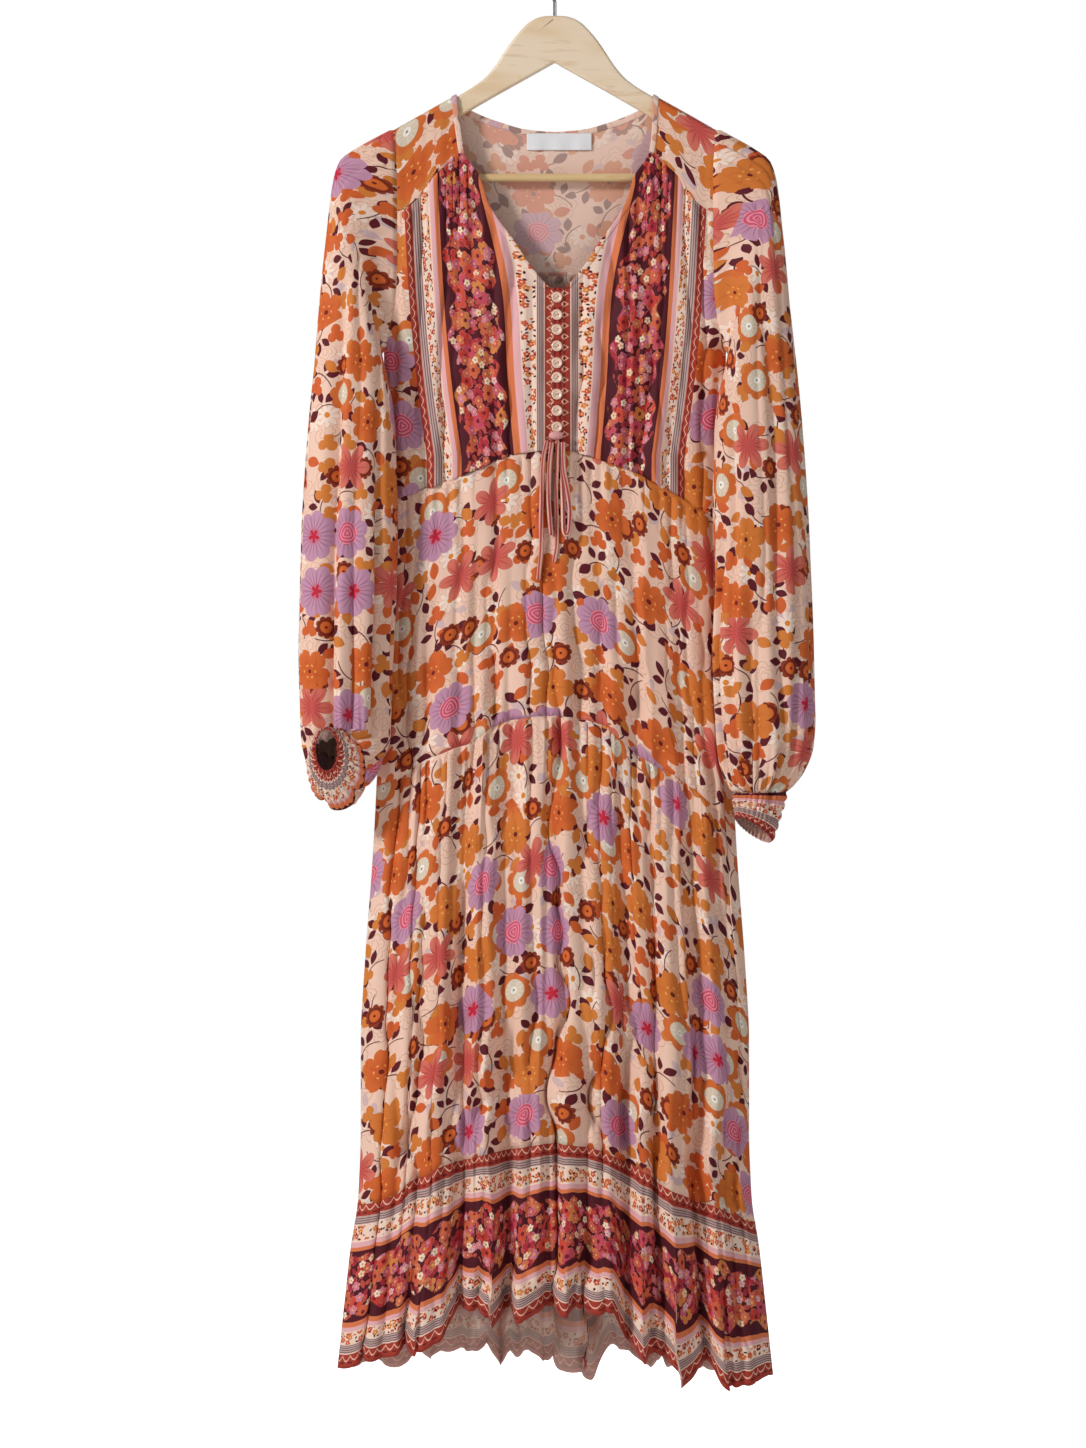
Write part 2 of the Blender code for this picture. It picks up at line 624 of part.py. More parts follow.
def neck_binding():
    """Narrow strip that finishes the neck: up one front edge, round the back, down the other."""
    neck_rows = FRONT_ROWS["centre"][FRONT_ROWS["centre"] > PLACKET_TOP][::-1]
    yoke_rows = yoke_front_heights(0, np.array(YOKE_FRONT_ROWS))
    inner, outer = [], []
    for height in np.concatenate([neck_rows[:-1], yoke_rows]):
        low = read(NECK_FRONT, "height", "half_width", height)
        slant = ease((height - BINDING_SLANT_START) / BINDING_SLANT_REACH)
        rise = RIDGE_SLOPE * BINDING_WIDTH * slant
        high = min(height + rise, RIDGE_HEIGHT)
        inner.append((low, body_y(low, high, -1), high))
        outer.append((low + BINDING_WIDTH, body_y(low + BINDING_WIDTH, height, -1), height))
    for share in (1.0,) + NECK_BACK_COLUMNS:
        x, wide = RIDGE_START * share, (RIDGE_START + BINDING_WIDTH) * share
        high = neck_back_height(share)
        low = ridge(wide) if share == 1.0 else back_neck_edge(share) + 2 * SEAM_GAP
        inner.append((x, body_y(x, high, 1), high))
        outer.append((wide, body_y(wide, low, 1), low))
    half = np.array([inner, outer]).transpose(1, 0, 2)
    shift = neck_shift(half[:, :, 0], half[:, :, 2]) * (half[:, :, 1] < 0)
    other = half[::-1][1:] * (-1, 1, 1)
    other[:, :, 0] += shift[::-1][1:]
    half[:, :, 0] += shift
    return cloth("neck_binding", np.concatenate([half, other]), "cuff", wall=BINDING_WALL)


def placket():
    low = seam(FRONT_SEAMS, "empire", np.zeros(1))[0] + SEAM_GAP
    heights = np.linspace(PLACKET_TOP, low, PLACKET_ROWS)
    x, height = np.meshgrid(NECK_CENTRE + PLACKET_HALF * np.array([-1, 0, 1]), heights)
    y = body_y(x, height, -1) - PLACKET_RAISE
    return cloth("placket", np.stack([x, y, height], -1), "border")


def label():
    """A blank woven label on the inside of the yoke, under the neck binding."""
    x, height = np.meshgrid(
        LABEL_ACROSS + LABEL_WIDTH * np.linspace(-0.5, 0.5, 7),
        LABEL_MIDDLE + LABEL_HEIGHT * np.linspace(0.5, -0.5, 3),
    )
    y = body_y(x, height, 1) - 0.5 * (BINDING_WALL + LABEL_WALL) - SEAM_GAP
    return cloth("neck_label", np.stack([x, y, height], -1), "label", wall=LABEL_WALL)


def buttons():
    """Nine turned buttons, each on the placket."""
    radius = BUTTON_PROFILE["radius"]
    profile = np.stack([radius, 0 * radius, BUTTON_PROFILE["height"]], -1)
    mesh = bpy.data.meshes.new("button")
    mesh.from_pydata(profile.tolist(), [(i, i + 1) for i in range(len(profile) - 1)], [])
    for number, height in enumerate(BUTTON_HEIGHTS, 1):
        obj = place(f"button_{number}", mesh, "button")
        seat = body_y(BUTTON_ACROSS, height, -1) - PLACKET_RAISE - WALL / 2 - BUTTON_CLEAR
        obj.location = (BUTTON_ACROSS, seat, height)
        obj.rotation_euler = (math.pi / 2, 0, 0)
        turn = obj.modifiers.new("turn", "SCREW")
        turn.steps = turn.render_steps = BUTTON_STEPS
        turn.use_merge_vertices = True
        turn.merge_threshold = 0.0001


def ring_angles(columns):
    """Angles round a sleeve, closer together at the crown and the underarm."""
    even = 2 * math.pi * np.arange(columns) / columns
    return even - RING_CLOSER * np.sin(2 * even)


def ring_points(rings, columns, side):
    """Rings of a sleeve as (rings, columns, 3): turn 0 is the crown, a quarter turn the front."""
    around = ring_angles(columns)
    crown = np.stack([rings["crown_x"], rings["crown_y"], rings["crown_z"]], -1)[:, None]
    under = np.stack([rings["under_x"], rings["under_y"], rings["under_z"]], -1)[:, None]
    front = np.stack([0 * rings["reach"], -rings["reach"], rings["lift"]], -1)[:, None]
    across = np.cos(around)[None, :, None]
    power = rings["square"][:, None]
    deep = (np.sign(np.sin(around)) * np.abs(np.sin(around)) ** power)[:, :, None]
    points = 0.5 * (crown + under) + 0.5 * (crown - under) * across + front * deep
    return points * (side, 1, 1)


def armhole_ring(columns, side):
    """The armhole's edge on the body form, as the sleeve's first ring."""
    around = ring_angles(columns)
    top = ridge(BODY["half_width"][0])
    height = 0.5 * (top + UNDERARM) + 0.5 * (top - UNDERARM) * np.cos(around)
    x = read(BODY, "height", "half_width", height) + ARMHOLE_GAP
    front, back = body_y(x, height, -1), body_y(x, height, 1)
    y = np.where(np.sin(around) >= 0, front, back)
    return np.stack([side * x, y, height], -1)[None]


def sleeve(name, side, end_rings, split=None):
    """Sleeve tube from the armhole to the cuff seam, gathered at both ends; returns its last ring.

    With a split it is an upper and a lower length, a hair apart at that ring.
    """
    rings = {key: np.concatenate([CAP_RINGS[key], end_rings[key]]) for key in CAP_RINGS}
    tube = ring_points(rings, SLEEVE_COLUMNS, side)
    points = np.concatenate([armhole_ring(SLEEVE_COLUMNS, side), tube])
    count = len(points)
    along = np.linspace(0, 1, count)[:, None]
    turn = ring_angles(SLEEVE_COLUMNS)[None] / (2 * math.pi)
    middle = points.mean(axis=1, keepdims=True)
    outwards = points - middle
    outwards /= np.linalg.norm(outwards, axis=2, keepdims=True)
    rise = ease(along / SLEEVE_FOLD_FULL)
    push = sum(
        depth * pulse(turn, place_at, width) * rise
        for place_at, depth, width in zip(*SLEEVE_FOLDS.values())
    )
    sign = np.cos(math.pi * np.arange(SLEEVE_COLUMNS))[None]
    rows = np.arange(count)[:, None]
    gathered = SLEEVE_GATHER * sign * ((rows == 1) | (rows == 2) | (rows >= count - 2))
    points = points + outwards * (gathered - push)[:, :, None]
    if split is None:
        cloth(name, points, "print", ring=True)
    else:
        lower = points[split:].copy()
        lower[0, :, 2] -= SPLIT_GAP
        cloth(f"{name}_upper", points[: split + 1], "print", ring=True)
        cloth(f"{name}_lower", lower, "print", ring=True)
    return points[-1]


def cuff(name, side, rings, sleeve_end):
    """Cuff band: its first ring is the sleeve's last one, moved on by the seam's gap."""
    points = ring_points(rings, SLEEVE_COLUMNS, side)
    middle = points.mean(axis=1, keepdims=True)
    outwards = points - middle
    outwards /= np.linalg.norm(outwards, axis=2, keepdims=True)
    sign = np.cos(math.pi * np.arange(SLEEVE_COLUMNS))[None, :, None]
    points = points + CUFF_GATHER * sign * outwards
    quarter = len(sleeve_end) // 4
    square = np.cross(
        sleeve_end[0] - sleeve_end[2 * quarter], sleeve_end[quarter] - sleeve_end[3 * quarter]
    )
    square /= np.linalg.norm(square)
    square *= np.sign(square @ (middle[0, 0] - sleeve_end.mean(axis=0)))
    first = sleeve_end + CUFF_GAP * square
    return cloth(name, np.concatenate([first[None], points]), "cuff", ring=True)


def smooth_route(points, count):
    """Evenly spaced points on a smooth curve through the given ones."""
    points = np.array(points)
    run = np.concatenate([[0], np.cumsum(np.linalg.norm(np.diff(points, axis=0), axis=1))])
    fine = np.linspace(0, run[-1], 400)
    curve = np.stack([blend(fine, run, points[:, k]) for k in range(3)], -1)
    length = np.concatenate([[0], np.cumsum(np.linalg.norm(np.diff(curve, axis=0), axis=1))])
    even = np.linspace(0, length[-1], count)
    return np.stack([np.interp(even, length, curve[:, k]) for k in range(3)], -1)


def wire(name, points, radius, look, resolution=2):
    data = bpy.data.curves.new(name, "CURVE")
    data.dimensions = "3D"
    data.bevel_depth = radius
    data.bevel_resolution = resolution
    data.use_fill_caps = True
    spline = data.splines.new("POLY")
    spline.points.add(len(points) - 1)
    for point, where in zip(spline.points, points):
        point.co = (*where, 1.0)
    return place(name, data, look)


def ties():
    for name, route in TIE_ROUTES.items():
        wire(f"tie_{name}", smooth_route(route, TIE_POINTS[name]), TIE_RADIUS, "print", 1)
    mesh = bpy.data.meshes.new("tie_knot")
    work = bmesh.new()
    bmesh.ops.create_uvsphere(work, u_segments=10, v_segments=7, radius=1.0)
    bmesh.ops.scale(work, vec=KNOT_HALF, verts=work.verts)
    work.to_mesh(mesh)
    work.free()
    place("tie_knot", mesh, "print").location = KNOT_MIDDLE


def arc(centre, radius, start, end, count):
    """Points on an arc in the XZ plane, angles in degrees from +X towards +Z."""
    angles = np.radians(np.linspace(start, end, count))
    x = centre[0] + radius * np.cos(angles)
    return np.stack([x, 0 * x, centre[1] + radius * np.sin(angles)], -1)


def hook():
    """Question-mark hook: a stem in the wood, a throat bend and most of a circle."""
    radius = HOOK_INNER_RADIUS + HOOK_WIRE / 2
    centre = (0.0, -HOOK_INNER_RADIUS)
    # The throat bend is an arc that touches both the stem and the circle.
    bend = HOOK_THROAT_RADIUS
    lower = math.sqrt((radius + bend) ** 2 - bend**2)
    middle = (-bend, centre[1] - lower)
    meets = math.degrees(math.atan2(lower, bend))
    stem = np.array([(0, 0, WOOD_APEX - HOOK_IN_WOOD), (0, 0, middle[1] - 0.001)])
    throat = arc(middle, bend, 0.0, meets, 6)
    circle = arc(centre, radius, meets - 180.0, HOOK_TIP_ANGLE - 360.0, 26)
    points = np.concatenate([stem, throat, circle[1:]])
    return wire("hanger_hook", points, HOOK_WIRE / 2, "steel")


def mesh_from_curve(obj):
    """The curve's mesh, welded, in place of the curve."""
    bpy.context.view_layer.update()
    graph = bpy.context.evaluated_depsgraph_get()
    mesh = bpy.data.meshes.new_from_object(obj.evaluated_get(graph))
    work = bmesh.new()
    work.from_mesh(mesh)
    bmesh.ops.remove_doubles(work, verts=work.verts, dist=0.00001)
    bmesh.ops.dissolve_limit(work, angle_limit=0.01, verts=work.verts, edges=work.edges)
    work.to_mesh(mesh)
    work.free()
    made = bpy.data.objects.new(obj.name + "_mesh", mesh)
    collection(COLLECTION).objects.link(made)
    made.matrix_world = obj.matrix_world
    name, data = obj.name, obj.data
    bpy.data.objects.remove(obj)
    bpy.data.curves.remove(data)
    made.name = name
    return made


def drill(name, radius, depth, location, rotation):
    bpy.ops.mesh.primitive_cylinder_add(
        vertices=12, radius=radius, depth=depth, location=location, rotation=rotation
    )
    cutter = bpy.context.object
    cutter.name = name
    for owner in list(cutter.users_collection):
        owner.objects.unlink(cutter)
    collection("cutters").objects.link(cutter)
    cutter.hide_render = True
    cutter.display_type = "WIRE"
    return cutter


def hanger_wood():
    """Flat shaped arms, drilled for the hook's stem and the trouser bar."""
    under = np.linspace(RIDGE_START, WOOD_UNDER_CLOTH_END, 6)
    right = np.concatenate([
        np.stack([WOOD_TOP["across"], WOOD_TOP["height"]], -1),
        np.stack([under, ridge(under) - WOOD_UNDER_CLOTH], -1),
        np.stack([WOOD_TIP["across"], WOOD_TIP["height"]], -1),
        np.stack([WOOD_LOWER["across"], WOOD_LOWER["height"]], -1),
    ])
    outline = np.concatenate([right, right[1:-1][::-1] * (-1, 1)])
    data = bpy.data.curves.new("hanger_wood", "CURVE")
    data.dimensions = "2D"
    data.fill_mode = "BOTH"
    data.extrude = WOOD_THICKNESS / 2
    spline = data.splines.new("POLY")
    spline.points.add(len(outline) - 1)
    for point, (x, z) in zip(spline.points, outline):
        point.co = (x, z, 0.0, 1.0)
    spline.use_cyclic_u = True
    flat = place("hanger_wood", data, "wood")
    flat.rotation_euler = (math.pi / 2, 0, 0)
    wood = mesh_from_curve(flat)
    wood.data.materials.clear()
    wood.data.materials.append(material("wood"))
    edges = wood.modifiers.new("edges", "BEVEL")
    edges.width = WOOD_EDGE_ROUND
    edges.segments = 1
    edges.limit_method = "ANGLE"
    edges.angle_limit = math.radians(60)
    deep = 2 * (HOOK_IN_WOOD + HOLE_DEEPER)
    long = 2 * (BAR_HALF_LENGTH + HOLE_DEEPER)
    holes = [
        drill("stem_hole", HOOK_WIRE / 2 + HOLE_CLEAR, deep, (0, 0, WOOD_APEX), (0, 0, 0)),
        drill("bar_hole", BAR_RADIUS + HOLE_CLEAR, long, (0, 0, BAR_HEIGHT), (0, math.pi / 2, 0)),
    ]
    for cutter in holes:
        cut = wood.modifiers.new(cutter.name, "BOOLEAN")
        cut.operation = "DIFFERENCE"
        cut.object = cutter
    return wood


def hanger_bar():
    bpy.ops.mesh.primitive_cylinder_add(
        vertices=12, radius=BAR_RADIUS, depth=2 * BAR_HALF_LENGTH,
        location=(0, 0, BAR_HEIGHT), rotation=(0, math.pi / 2, 0),
    )
    bar = bpy.context.object
    bar.name = "hanger_bar"
    for owner in list(bar.users_collection):
        owner.objects.unlink(bar)
    collection(COLLECTION).objects.link(bar)
    bar.data.materials.append(material("bar"))
    return bar


def main():
    clear_scene()
    hanger_wood()
    hanger_bar()
    hook()
    yoke()
    front_bodice("bodice_front_left", -1)
    front_bodice("bodice_front_right", 1)
    back_bodice()
    for face, where, seams, folds, hem in (
        (-1, "front", FRONT_SEAMS, FRONT_FOLDS, FRONT_HEM),
        (1, "back", BACK_SEAMS, BACK_FOLDS, BACK_HEM),
    ):
        tier(f"waist_{where}", face, seams, folds, hem, "empire", "hip", HIP_ROWS,
             HIP_COLUMNS, "print")
        tier(f"skirt_{where}", face, seams, folds, hem, "hip", "ruffle", SKIRT_ROWS,
             PANEL_COLUMNS, "print")
        tier(f"ruffle_{where}", face, seams, folds, hem, "ruffle", "hem", RUFFLE_ROWS,
             PANEL_COLUMNS, "border")
    neck_binding()
    placket()
    label()
    buttons()
    left_end = sleeve("sleeve_left", -1, LEFT_END_RINGS, LEFT_SPLIT_RING)
    right_end = sleeve("sleeve_right", 1, RIGHT_END_RINGS)
    cuff("cuff_left", -1, LEFT_CUFF_RINGS, left_end)
    cuff("cuff_right", 1, RIGHT_CUFF_RINGS, right_end)
    ties()


main()
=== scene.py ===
"""Looks of a long printed dress with full sleeves, hanging on a wooden hanger.

Metres, +Z up, the dress facing -Y, the origin at the inner top of the hook. The cloth follows the
same body form as the solids: a table of sections gives half width and depth, and seams cut it.
Each cloth piece carries a UV map in metres of flat cloth, which its print reads.
"""

import math

import bmesh
import bpy
import numpy as np
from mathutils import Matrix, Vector


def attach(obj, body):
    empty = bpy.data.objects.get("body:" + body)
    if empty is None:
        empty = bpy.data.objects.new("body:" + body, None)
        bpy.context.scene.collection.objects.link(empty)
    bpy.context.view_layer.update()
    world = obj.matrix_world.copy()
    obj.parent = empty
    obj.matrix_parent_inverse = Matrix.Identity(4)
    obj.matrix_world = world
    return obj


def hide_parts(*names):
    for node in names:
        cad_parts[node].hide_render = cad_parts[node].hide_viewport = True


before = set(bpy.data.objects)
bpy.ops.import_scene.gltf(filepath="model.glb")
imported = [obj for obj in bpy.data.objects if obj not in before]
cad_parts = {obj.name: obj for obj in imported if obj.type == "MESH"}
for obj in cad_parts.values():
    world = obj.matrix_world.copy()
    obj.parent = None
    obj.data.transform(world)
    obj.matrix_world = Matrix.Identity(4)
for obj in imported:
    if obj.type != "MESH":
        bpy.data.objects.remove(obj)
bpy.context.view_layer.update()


def table(names, *rows):
    """A table as a dictionary of its named columns."""
    return dict(zip(names.split(), np.array(rows, float).T))


WHOLE_TURN = 6.28
CLOTH = 0.0006
SIDE_GAP = 0.00045
SEAM_GAP = 0.0003

# Shoulder line, and the body form: half width, and depth in front and behind
RIDGE_START = 0.109
RIDGE_HEIGHT = -0.1493
RIDGE_SLOPE = 0.565
RIDGE_ROUND = 0.006
BODY = table(
    "height half_width front back",
    (-0.188, 0.1790, 0.0095, 0.0095),
    (-0.240, 0.1770, 0.0120, 0.0110),
    (-0.300, 0.1765, 0.0150, 0.0135),
    (-0.360, 0.1775, 0.0180, 0.0165),
    (-0.400, 0.1820, 0.0205, 0.0185),
    (-0.430, 0.1890, 0.0220, 0.0200),
    (-0.530, 0.1865, 0.0250, 0.0230),
    (-0.610, 0.1850, 0.0272, 0.0255),
    (-0.750, 0.1895, 0.0305, 0.0290),
    (-0.900, 0.1965, 0.0345, 0.0330),
    (-0.984, 0.2008, 0.0380, 0.0370),
    (-1.127, 0.2112, 0.0430, 0.0420),
    (-1.193, 0.2145, 0.0450, 0.0440),
    (-1.292, 0.2145, 0.0485, 0.0480),
    (-1.369, 0.2175, 0.0520, 0.0520),
    (-1.422, 0.2255, 0.0560, 0.0560),
    (-1.488, 0.2330, 0.0600, 0.0600),
    (-1.600, 0.2450, 0.0650, 0.0660),
)
UNDERARM = -0.430
ARMHOLE_ROUND = 0.070
BELLY_POWER = 2.6
BELLY_ROUND = 0.55
FOLD_BELLY = 1.4

# Neck, placket and yoke seams
NECK_CENTRE = 0.0028
NECK_SHIFT_REACH = 0.05
NECK_FRONT = table(
    "height half_width",
    (-0.1493, 0.1090), (-0.2127, 0.1023), (-0.2400, 0.0855), (-0.2700, 0.0755),
    (-0.2900, 0.0635), (-0.3117, 0.0473), (-0.3330, 0.0340), (-0.3502, 0.0209),
    (-0.3640, 0.0085),
)
NECK_BACK = table(
    "across height",
    (0.0, -0.1896), (0.030, -0.1870), (0.060, -0.1790), (0.085, -0.1695),
    (0.100, -0.1610), (0.1074, -0.1528), (0.1085, -0.1502), (0.109, -0.1493),
)
BINDING_WIDTH = 0.0060
BINDING_RISE = 0.0024
UNDER_BINDING = 0.6 * BINDING_WIDTH
PLACKET_HALF = 0.0072
PLACKET_TOP = -0.3652
PLACKET_RAISE = 0.0010
YOKE_SEAM = table(
    "across height",
    (0.1080, -0.2155), (0.1150, -0.2205), (0.1358, -0.2385), (0.1436, -0.2523),
    (0.1529, -0.2660), (0.1655, -0.2765), (0.1764, -0.2800),
)
FRONT_ROWS = table(
    "centre side",
    (-0.2155, -0.2155), (-0.2350, -0.2205), (-0.2530, -0.2385), (-0.2700, -0.2523),
    (-0.2900, -0.2660), (-0.3117, -0.2765), (-0.3330, -0.2800), (-0.3502, -0.3050),
    (-0.3640, -0.3380), (-0.3664, -0.3600), (-0.4150, -0.4000), (-0.4700, -0.4350),
)
YOKE_SEAM_SHARE = (YOKE_SEAM["across"] - YOKE_SEAM["across"][0]) / np.ptp(YOKE_SEAM["across"])
YOKE_ROW_POWER = 1.3
BACK_YOKE_CENTRE = -0.3470
BACK_YOKE_RISE = 0.0100

# Heights of the seams and hems across each face, from the left side (-1) to the right side (1)
FRONT_SEAMS = table(
    "across empire hip ruffle",
    (-1.00, -0.600, -0.915, -1.377), (-0.85, -0.592, -0.901, -1.369),
    (-0.70, -0.583, -0.882, -1.345), (-0.50, -0.569, -0.867, -1.327),
    (-0.25, -0.550, -0.841, -1.315), (0.00, -0.544, -0.836, -1.306),
    (0.25, -0.554, -0.846, -1.316), (0.50, -0.572, -0.885, -1.347),
    (0.70, -0.592, -0.907, -1.370), (0.85, -0.608, -0.928, -1.381),
    (1.00, -0.622, -0.965, -1.398),
)
BACK_SEAMS = table(
    "across empire hip ruffle",
    (-1.00, -0.600, -0.915, -1.377), (-0.70, -0.596, -0.904, -1.368),
    (-0.35, -0.592, -0.896, -1.360), (0.00, -0.592, -0.895, -1.360),
    (0.35, -0.596, -0.902, -1.364), (0.70, -0.606, -0.925, -1.378),
    (1.00, -0.622, -0.965, -1.398),
)
FRONT_HEM = table(
    "across height",
    (-1.00, -1.557), (-0.85, -1.548), (-0.70, -1.537), (-0.54, -1.521), (-0.41, -1.494),
    (-0.23, -1.508), (-0.08, -1.491), (0.15, -1.493), (0.27, -1.488), (0.34, -1.534),
    (0.50, -1.552), (0.63, -1.571), (0.70, -1.554), (0.78, -1.576), (0.91, -1.570),
    (1.00, -1.565),
)
BACK_HEM = table(
    "across height",
    (-1.00, -1.557), (-0.70, -1.556), (-0.45, -1.541), (-0.33, -1.552), (-0.20, -1.556),
    (-0.12, -1.549), (0.00, -1.559), (0.18, -1.572), (0.26, -1.546), (0.35, -1.552),
    (0.70, -1.566), (1.00, -1.565),
)
WAIST_COLUMNS = 30

# Long folds: place across at the hip seam and at the hem, depth at the hem, width
FRONT_FOLDS = table(
    "top bottom depth width",
    (-0.84, -0.80, 0.010, 0.055), (-0.52, -0.44, 0.017, 0.060), (-0.28, -0.23, 0.016, 0.050),
    (-0.05, -0.05, 0.012, 0.050), (0.15, 0.14, 0.010, 0.045), (0.36, 0.34, 0.020, 0.055),
    (0.54, 0.48, 0.015, 0.045), (0.76, 0.68, 0.017, 0.050), (0.90, 0.86, 0.009, 0.040),
)
BACK_FOLDS = table(
    "top bottom depth width",
    (-0.88, -0.85, 0.009, 0.045), (-0.66, -0.62, 0.016, 0.055), (-0.40, -0.38, 0.014, 0.050),
    (-0.17, -0.15, 0.018, 0.060), (0.08, 0.10, 0.013, 0.050), (0.30, 0.33, 0.017, 0.055),
    (0.57, 0.56, 0.014, 0.050), (0.82, 0.80, 0.011, 0.045),
)
FOLD_START = -0.850
FOLD_END = -1.560
FOLD_TOP_SHARE = 0.30
HEM_LIFT = 0.35
WAIST_FOLDS = table(
    "across depth width top bottom",
    (-0.75, 0.0055, 0.060, -0.58, -0.90), (-0.46, 0.0065, 0.050, -0.58, -0.88),
    (-0.26, 0.0045, 0.045, -0.62, -0.87), (0.12, 0.0045, 0.045, -0.62, -0.86),
    (0.46, 0.0065, 0.050, -0.58, -0.90), (0.72, 0.0060, 0.060, -0.60, -0.92),
)

# Gathers: wavelength, height at the seam, fade below the seam, height at the lower edge
EMPIRE_WAVES = (
    (0.014, 0.0026, 0.040, 0.0), (0.037, 0.0034, 0.25, 0.0050), (0.075, 0.0, 0.1, 0.0085),
)
HIP_WAVES = (
    (0.0115, 0.0036, 0.055, 0.0), (0.0215, 0.0046, 0.240, 0.0030), (0.046, 0.0055, 0.60, 0.0125),
)
RUFFLE_WAVES = (
    (0.0105, 0.0026, 0.030, 0.0), (0.024, 0.0028, 0.090, 0.0046), (0.047, 0.0, 0.10, 0.0150),
)
GROOVE_DEPTH = 0.55
GROOVE_WIDTH = 0.30
GATHER_START = 0.006
WAVE_INWARDS = 1.4
RIDGE_POWER = 0.6
DRIFT, DRIFT_LENGTH, DRIFT_START = 0.25, 0.31, 0.1
PLACE_VARIES, PLACE_LENGTH = 0.55, 0.17
HEIGHT_VARIES, HEIGHT_LENGTH = 0.45, 0.083
FADE_VARIES, FADE_LENGTH = 0.6, 0.029
LEAN, LEAN_LENGTH = 0.45, 0.21
CARRY_FADE = 0.11
SEAM_TUCK = 0.0012
SEAM_OVERLAP = 0.0024
HEM_WAVE = 0.80

# Sleeve rings: a point on the crown, a point on the underarm, how far the front reaches
RING = "crown_x crown_y crown_z under_x under_y under_z reach lift square"
CAP_RINGS = table(
    RING,
    (0.2010, 0.000, -0.2008, 0.1917, -0.008, -0.4380, 0.0180, 0.0, 0.55),
    (0.2215, 0.000, -0.2124, 0.1895, -0.016, -0.4480, 0.0205, 0.0, 0.55),
    (0.2370, -0.001, -0.2245, 0.1865, -0.021, -0.4590, 0.0230, 0.0, 0.60),
    (0.2445, -0.004, -0.2480, 0.1830, -0.024, -0.4720, 0.0250, 0.0, 0.70),
    (0.2500, -0.010, -0.2950, 0.1795, -0.026, -0.4900, 0.0275, 0.0, 0.80),
    (0.2590, -0.019, -0.3850, 0.1760, -0.028, -0.5300, 0.0300, 0.0, 0.90),
    (0.2705, -0.027, -0.5200, 0.1755, -0.030, -0.5950, 0.0310, 0.0, 1.00),
    (0.2785, -0.031, -0.6500, 0.1790, -0.032, -0.6800, 0.0315, 0.0, 1.00),
)
LEFT_END_RINGS = table(
    RING,
    (0.2810, -0.033, -0.7600, 0.1838, -0.034, -0.7700, 0.0325, 0.0, 1.00),
    (0.2775, -0.033, -0.8320, 0.1860, -0.034, -0.8360, 0.0340, 0.0, 1.00),
    (0.2750, -0.034, -0.8643, 0.1865, -0.034, -0.8643, 0.0338, 0.0123, 1.00),
    (0.2715, -0.037, -0.8788, 0.1905, -0.037, -0.8788, 0.0297, 0.0268, 1.00),
    (0.2695, -0.046, -0.8900, 0.1990, -0.046, -0.8900, 0.0202, 0.0380, 1.00),
    (0.2695, -0.056, -0.8960, 0.2080, -0.056, -0.8960, 0.0094, 0.0440, 1.00),
)
RIGHT_END_RINGS = table(
    RING,
    (0.2822, -0.033, -0.7650, 0.1775, -0.035, -0.7750, 0.0325, 0.0, 1.00),
    (0.2820, -0.033, -0.8350, 0.1790, -0.035, -0.8400, 0.0335, 0.0, 1.00),
    (0.2790, -0.033, -0.8680, 0.1815, -0.035, -0.8760, 0.0325, 0.0, 1.00),
    (0.2700, -0.033, -0.8980, 0.1885, -0.035, -0.9030, 0.0290, 0.0, 1.00),
    (0.2545, -0.033, -0.9200, 0.1975, -0.035, -0.9215, 0.0240, 0.0, 1.00),
)
LEFT_CUFF_RINGS = table(
    RING,
    (0.2680, -0.0670, -0.8850, 0.2260, -0.0670, -0.8850, 0.0070, 0.0330, 1.00),
    (0.2620, -0.0750, -0.8735, 0.2385, -0.0750, -0.8735, 0.0050, 0.0225, 1.00),
)
RIGHT_CUFF_RINGS = table(
    RING,
    (0.2455, -0.0330, -0.9500, 0.1990, -0.0340, -0.9370, 0.0200, 0.003, 1.00),
    (0.2376, -0.0330, -0.9735, 0.2000, -0.0330, -0.9500, 0.0165, 0.007, 1.00),
)
ARMHOLE_TUCK = 0.0026
SLEEVE_FOLDS = table(
    "turn depth width",
    (0.19, 0.006, 0.035), (0.36, 0.004, 0.030), (0.62, 0.005, 0.035), (0.84, 0.005, 0.035),
)
SLEEVE_FOLD_FULL = 0.45

# Hanger
WOOD_TOP = table(
    "across height",
    (0.0, -0.0620), (0.0100, -0.0623), (0.0185, -0.0642), (0.0280, -0.0690),
    (0.0370, -0.0775), (0.0452, -0.0870), (0.0522, -0.0966), (0.0600, -0.1085),
    (0.0675, -0.1195), (0.0765, -0.1300), (0.0880, -0.1392), (0.1000, -0.1467),
)
WOOD_TIP = table(
    "across height",
    (0.2160, -0.2123), (0.2200, -0.2155), (0.2225, -0.2220), (0.2225, -0.2400),
    (0.2190, -0.2495), (0.2110, -0.2530), (0.2000, -0.2525), (0.1920, -0.2495),
    (0.1860, -0.2430), (0.1800, -0.2300),
)
WOOD_LOWER = table(
    "across height",
    (0.1600, -0.2110), (0.1350, -0.1935), (0.1060, -0.1742), (0.0, -0.1137),
)
WOOD_THICKNESS = 0.013
WOOD_EDGE_ROUND = 0.003
WOOD_UNDER_CLOTH = 0.0026
WOOD_UNDER_CLOTH_END = 0.205
BAR_HEIGHT = -0.2408
BAR_RADIUS = 0.0045
BAR_HALF_LENGTH = 0.199
HOOK_WIRE = 0.004
HOOK_INNER_RADIUS = 0.019
HOOK_TIP_ANGLE = -35.0
HOOK_THROAT_RADIUS = 0.009
HOOK_IN_WOOD = 0.016
WOOD_APEX = -0.062

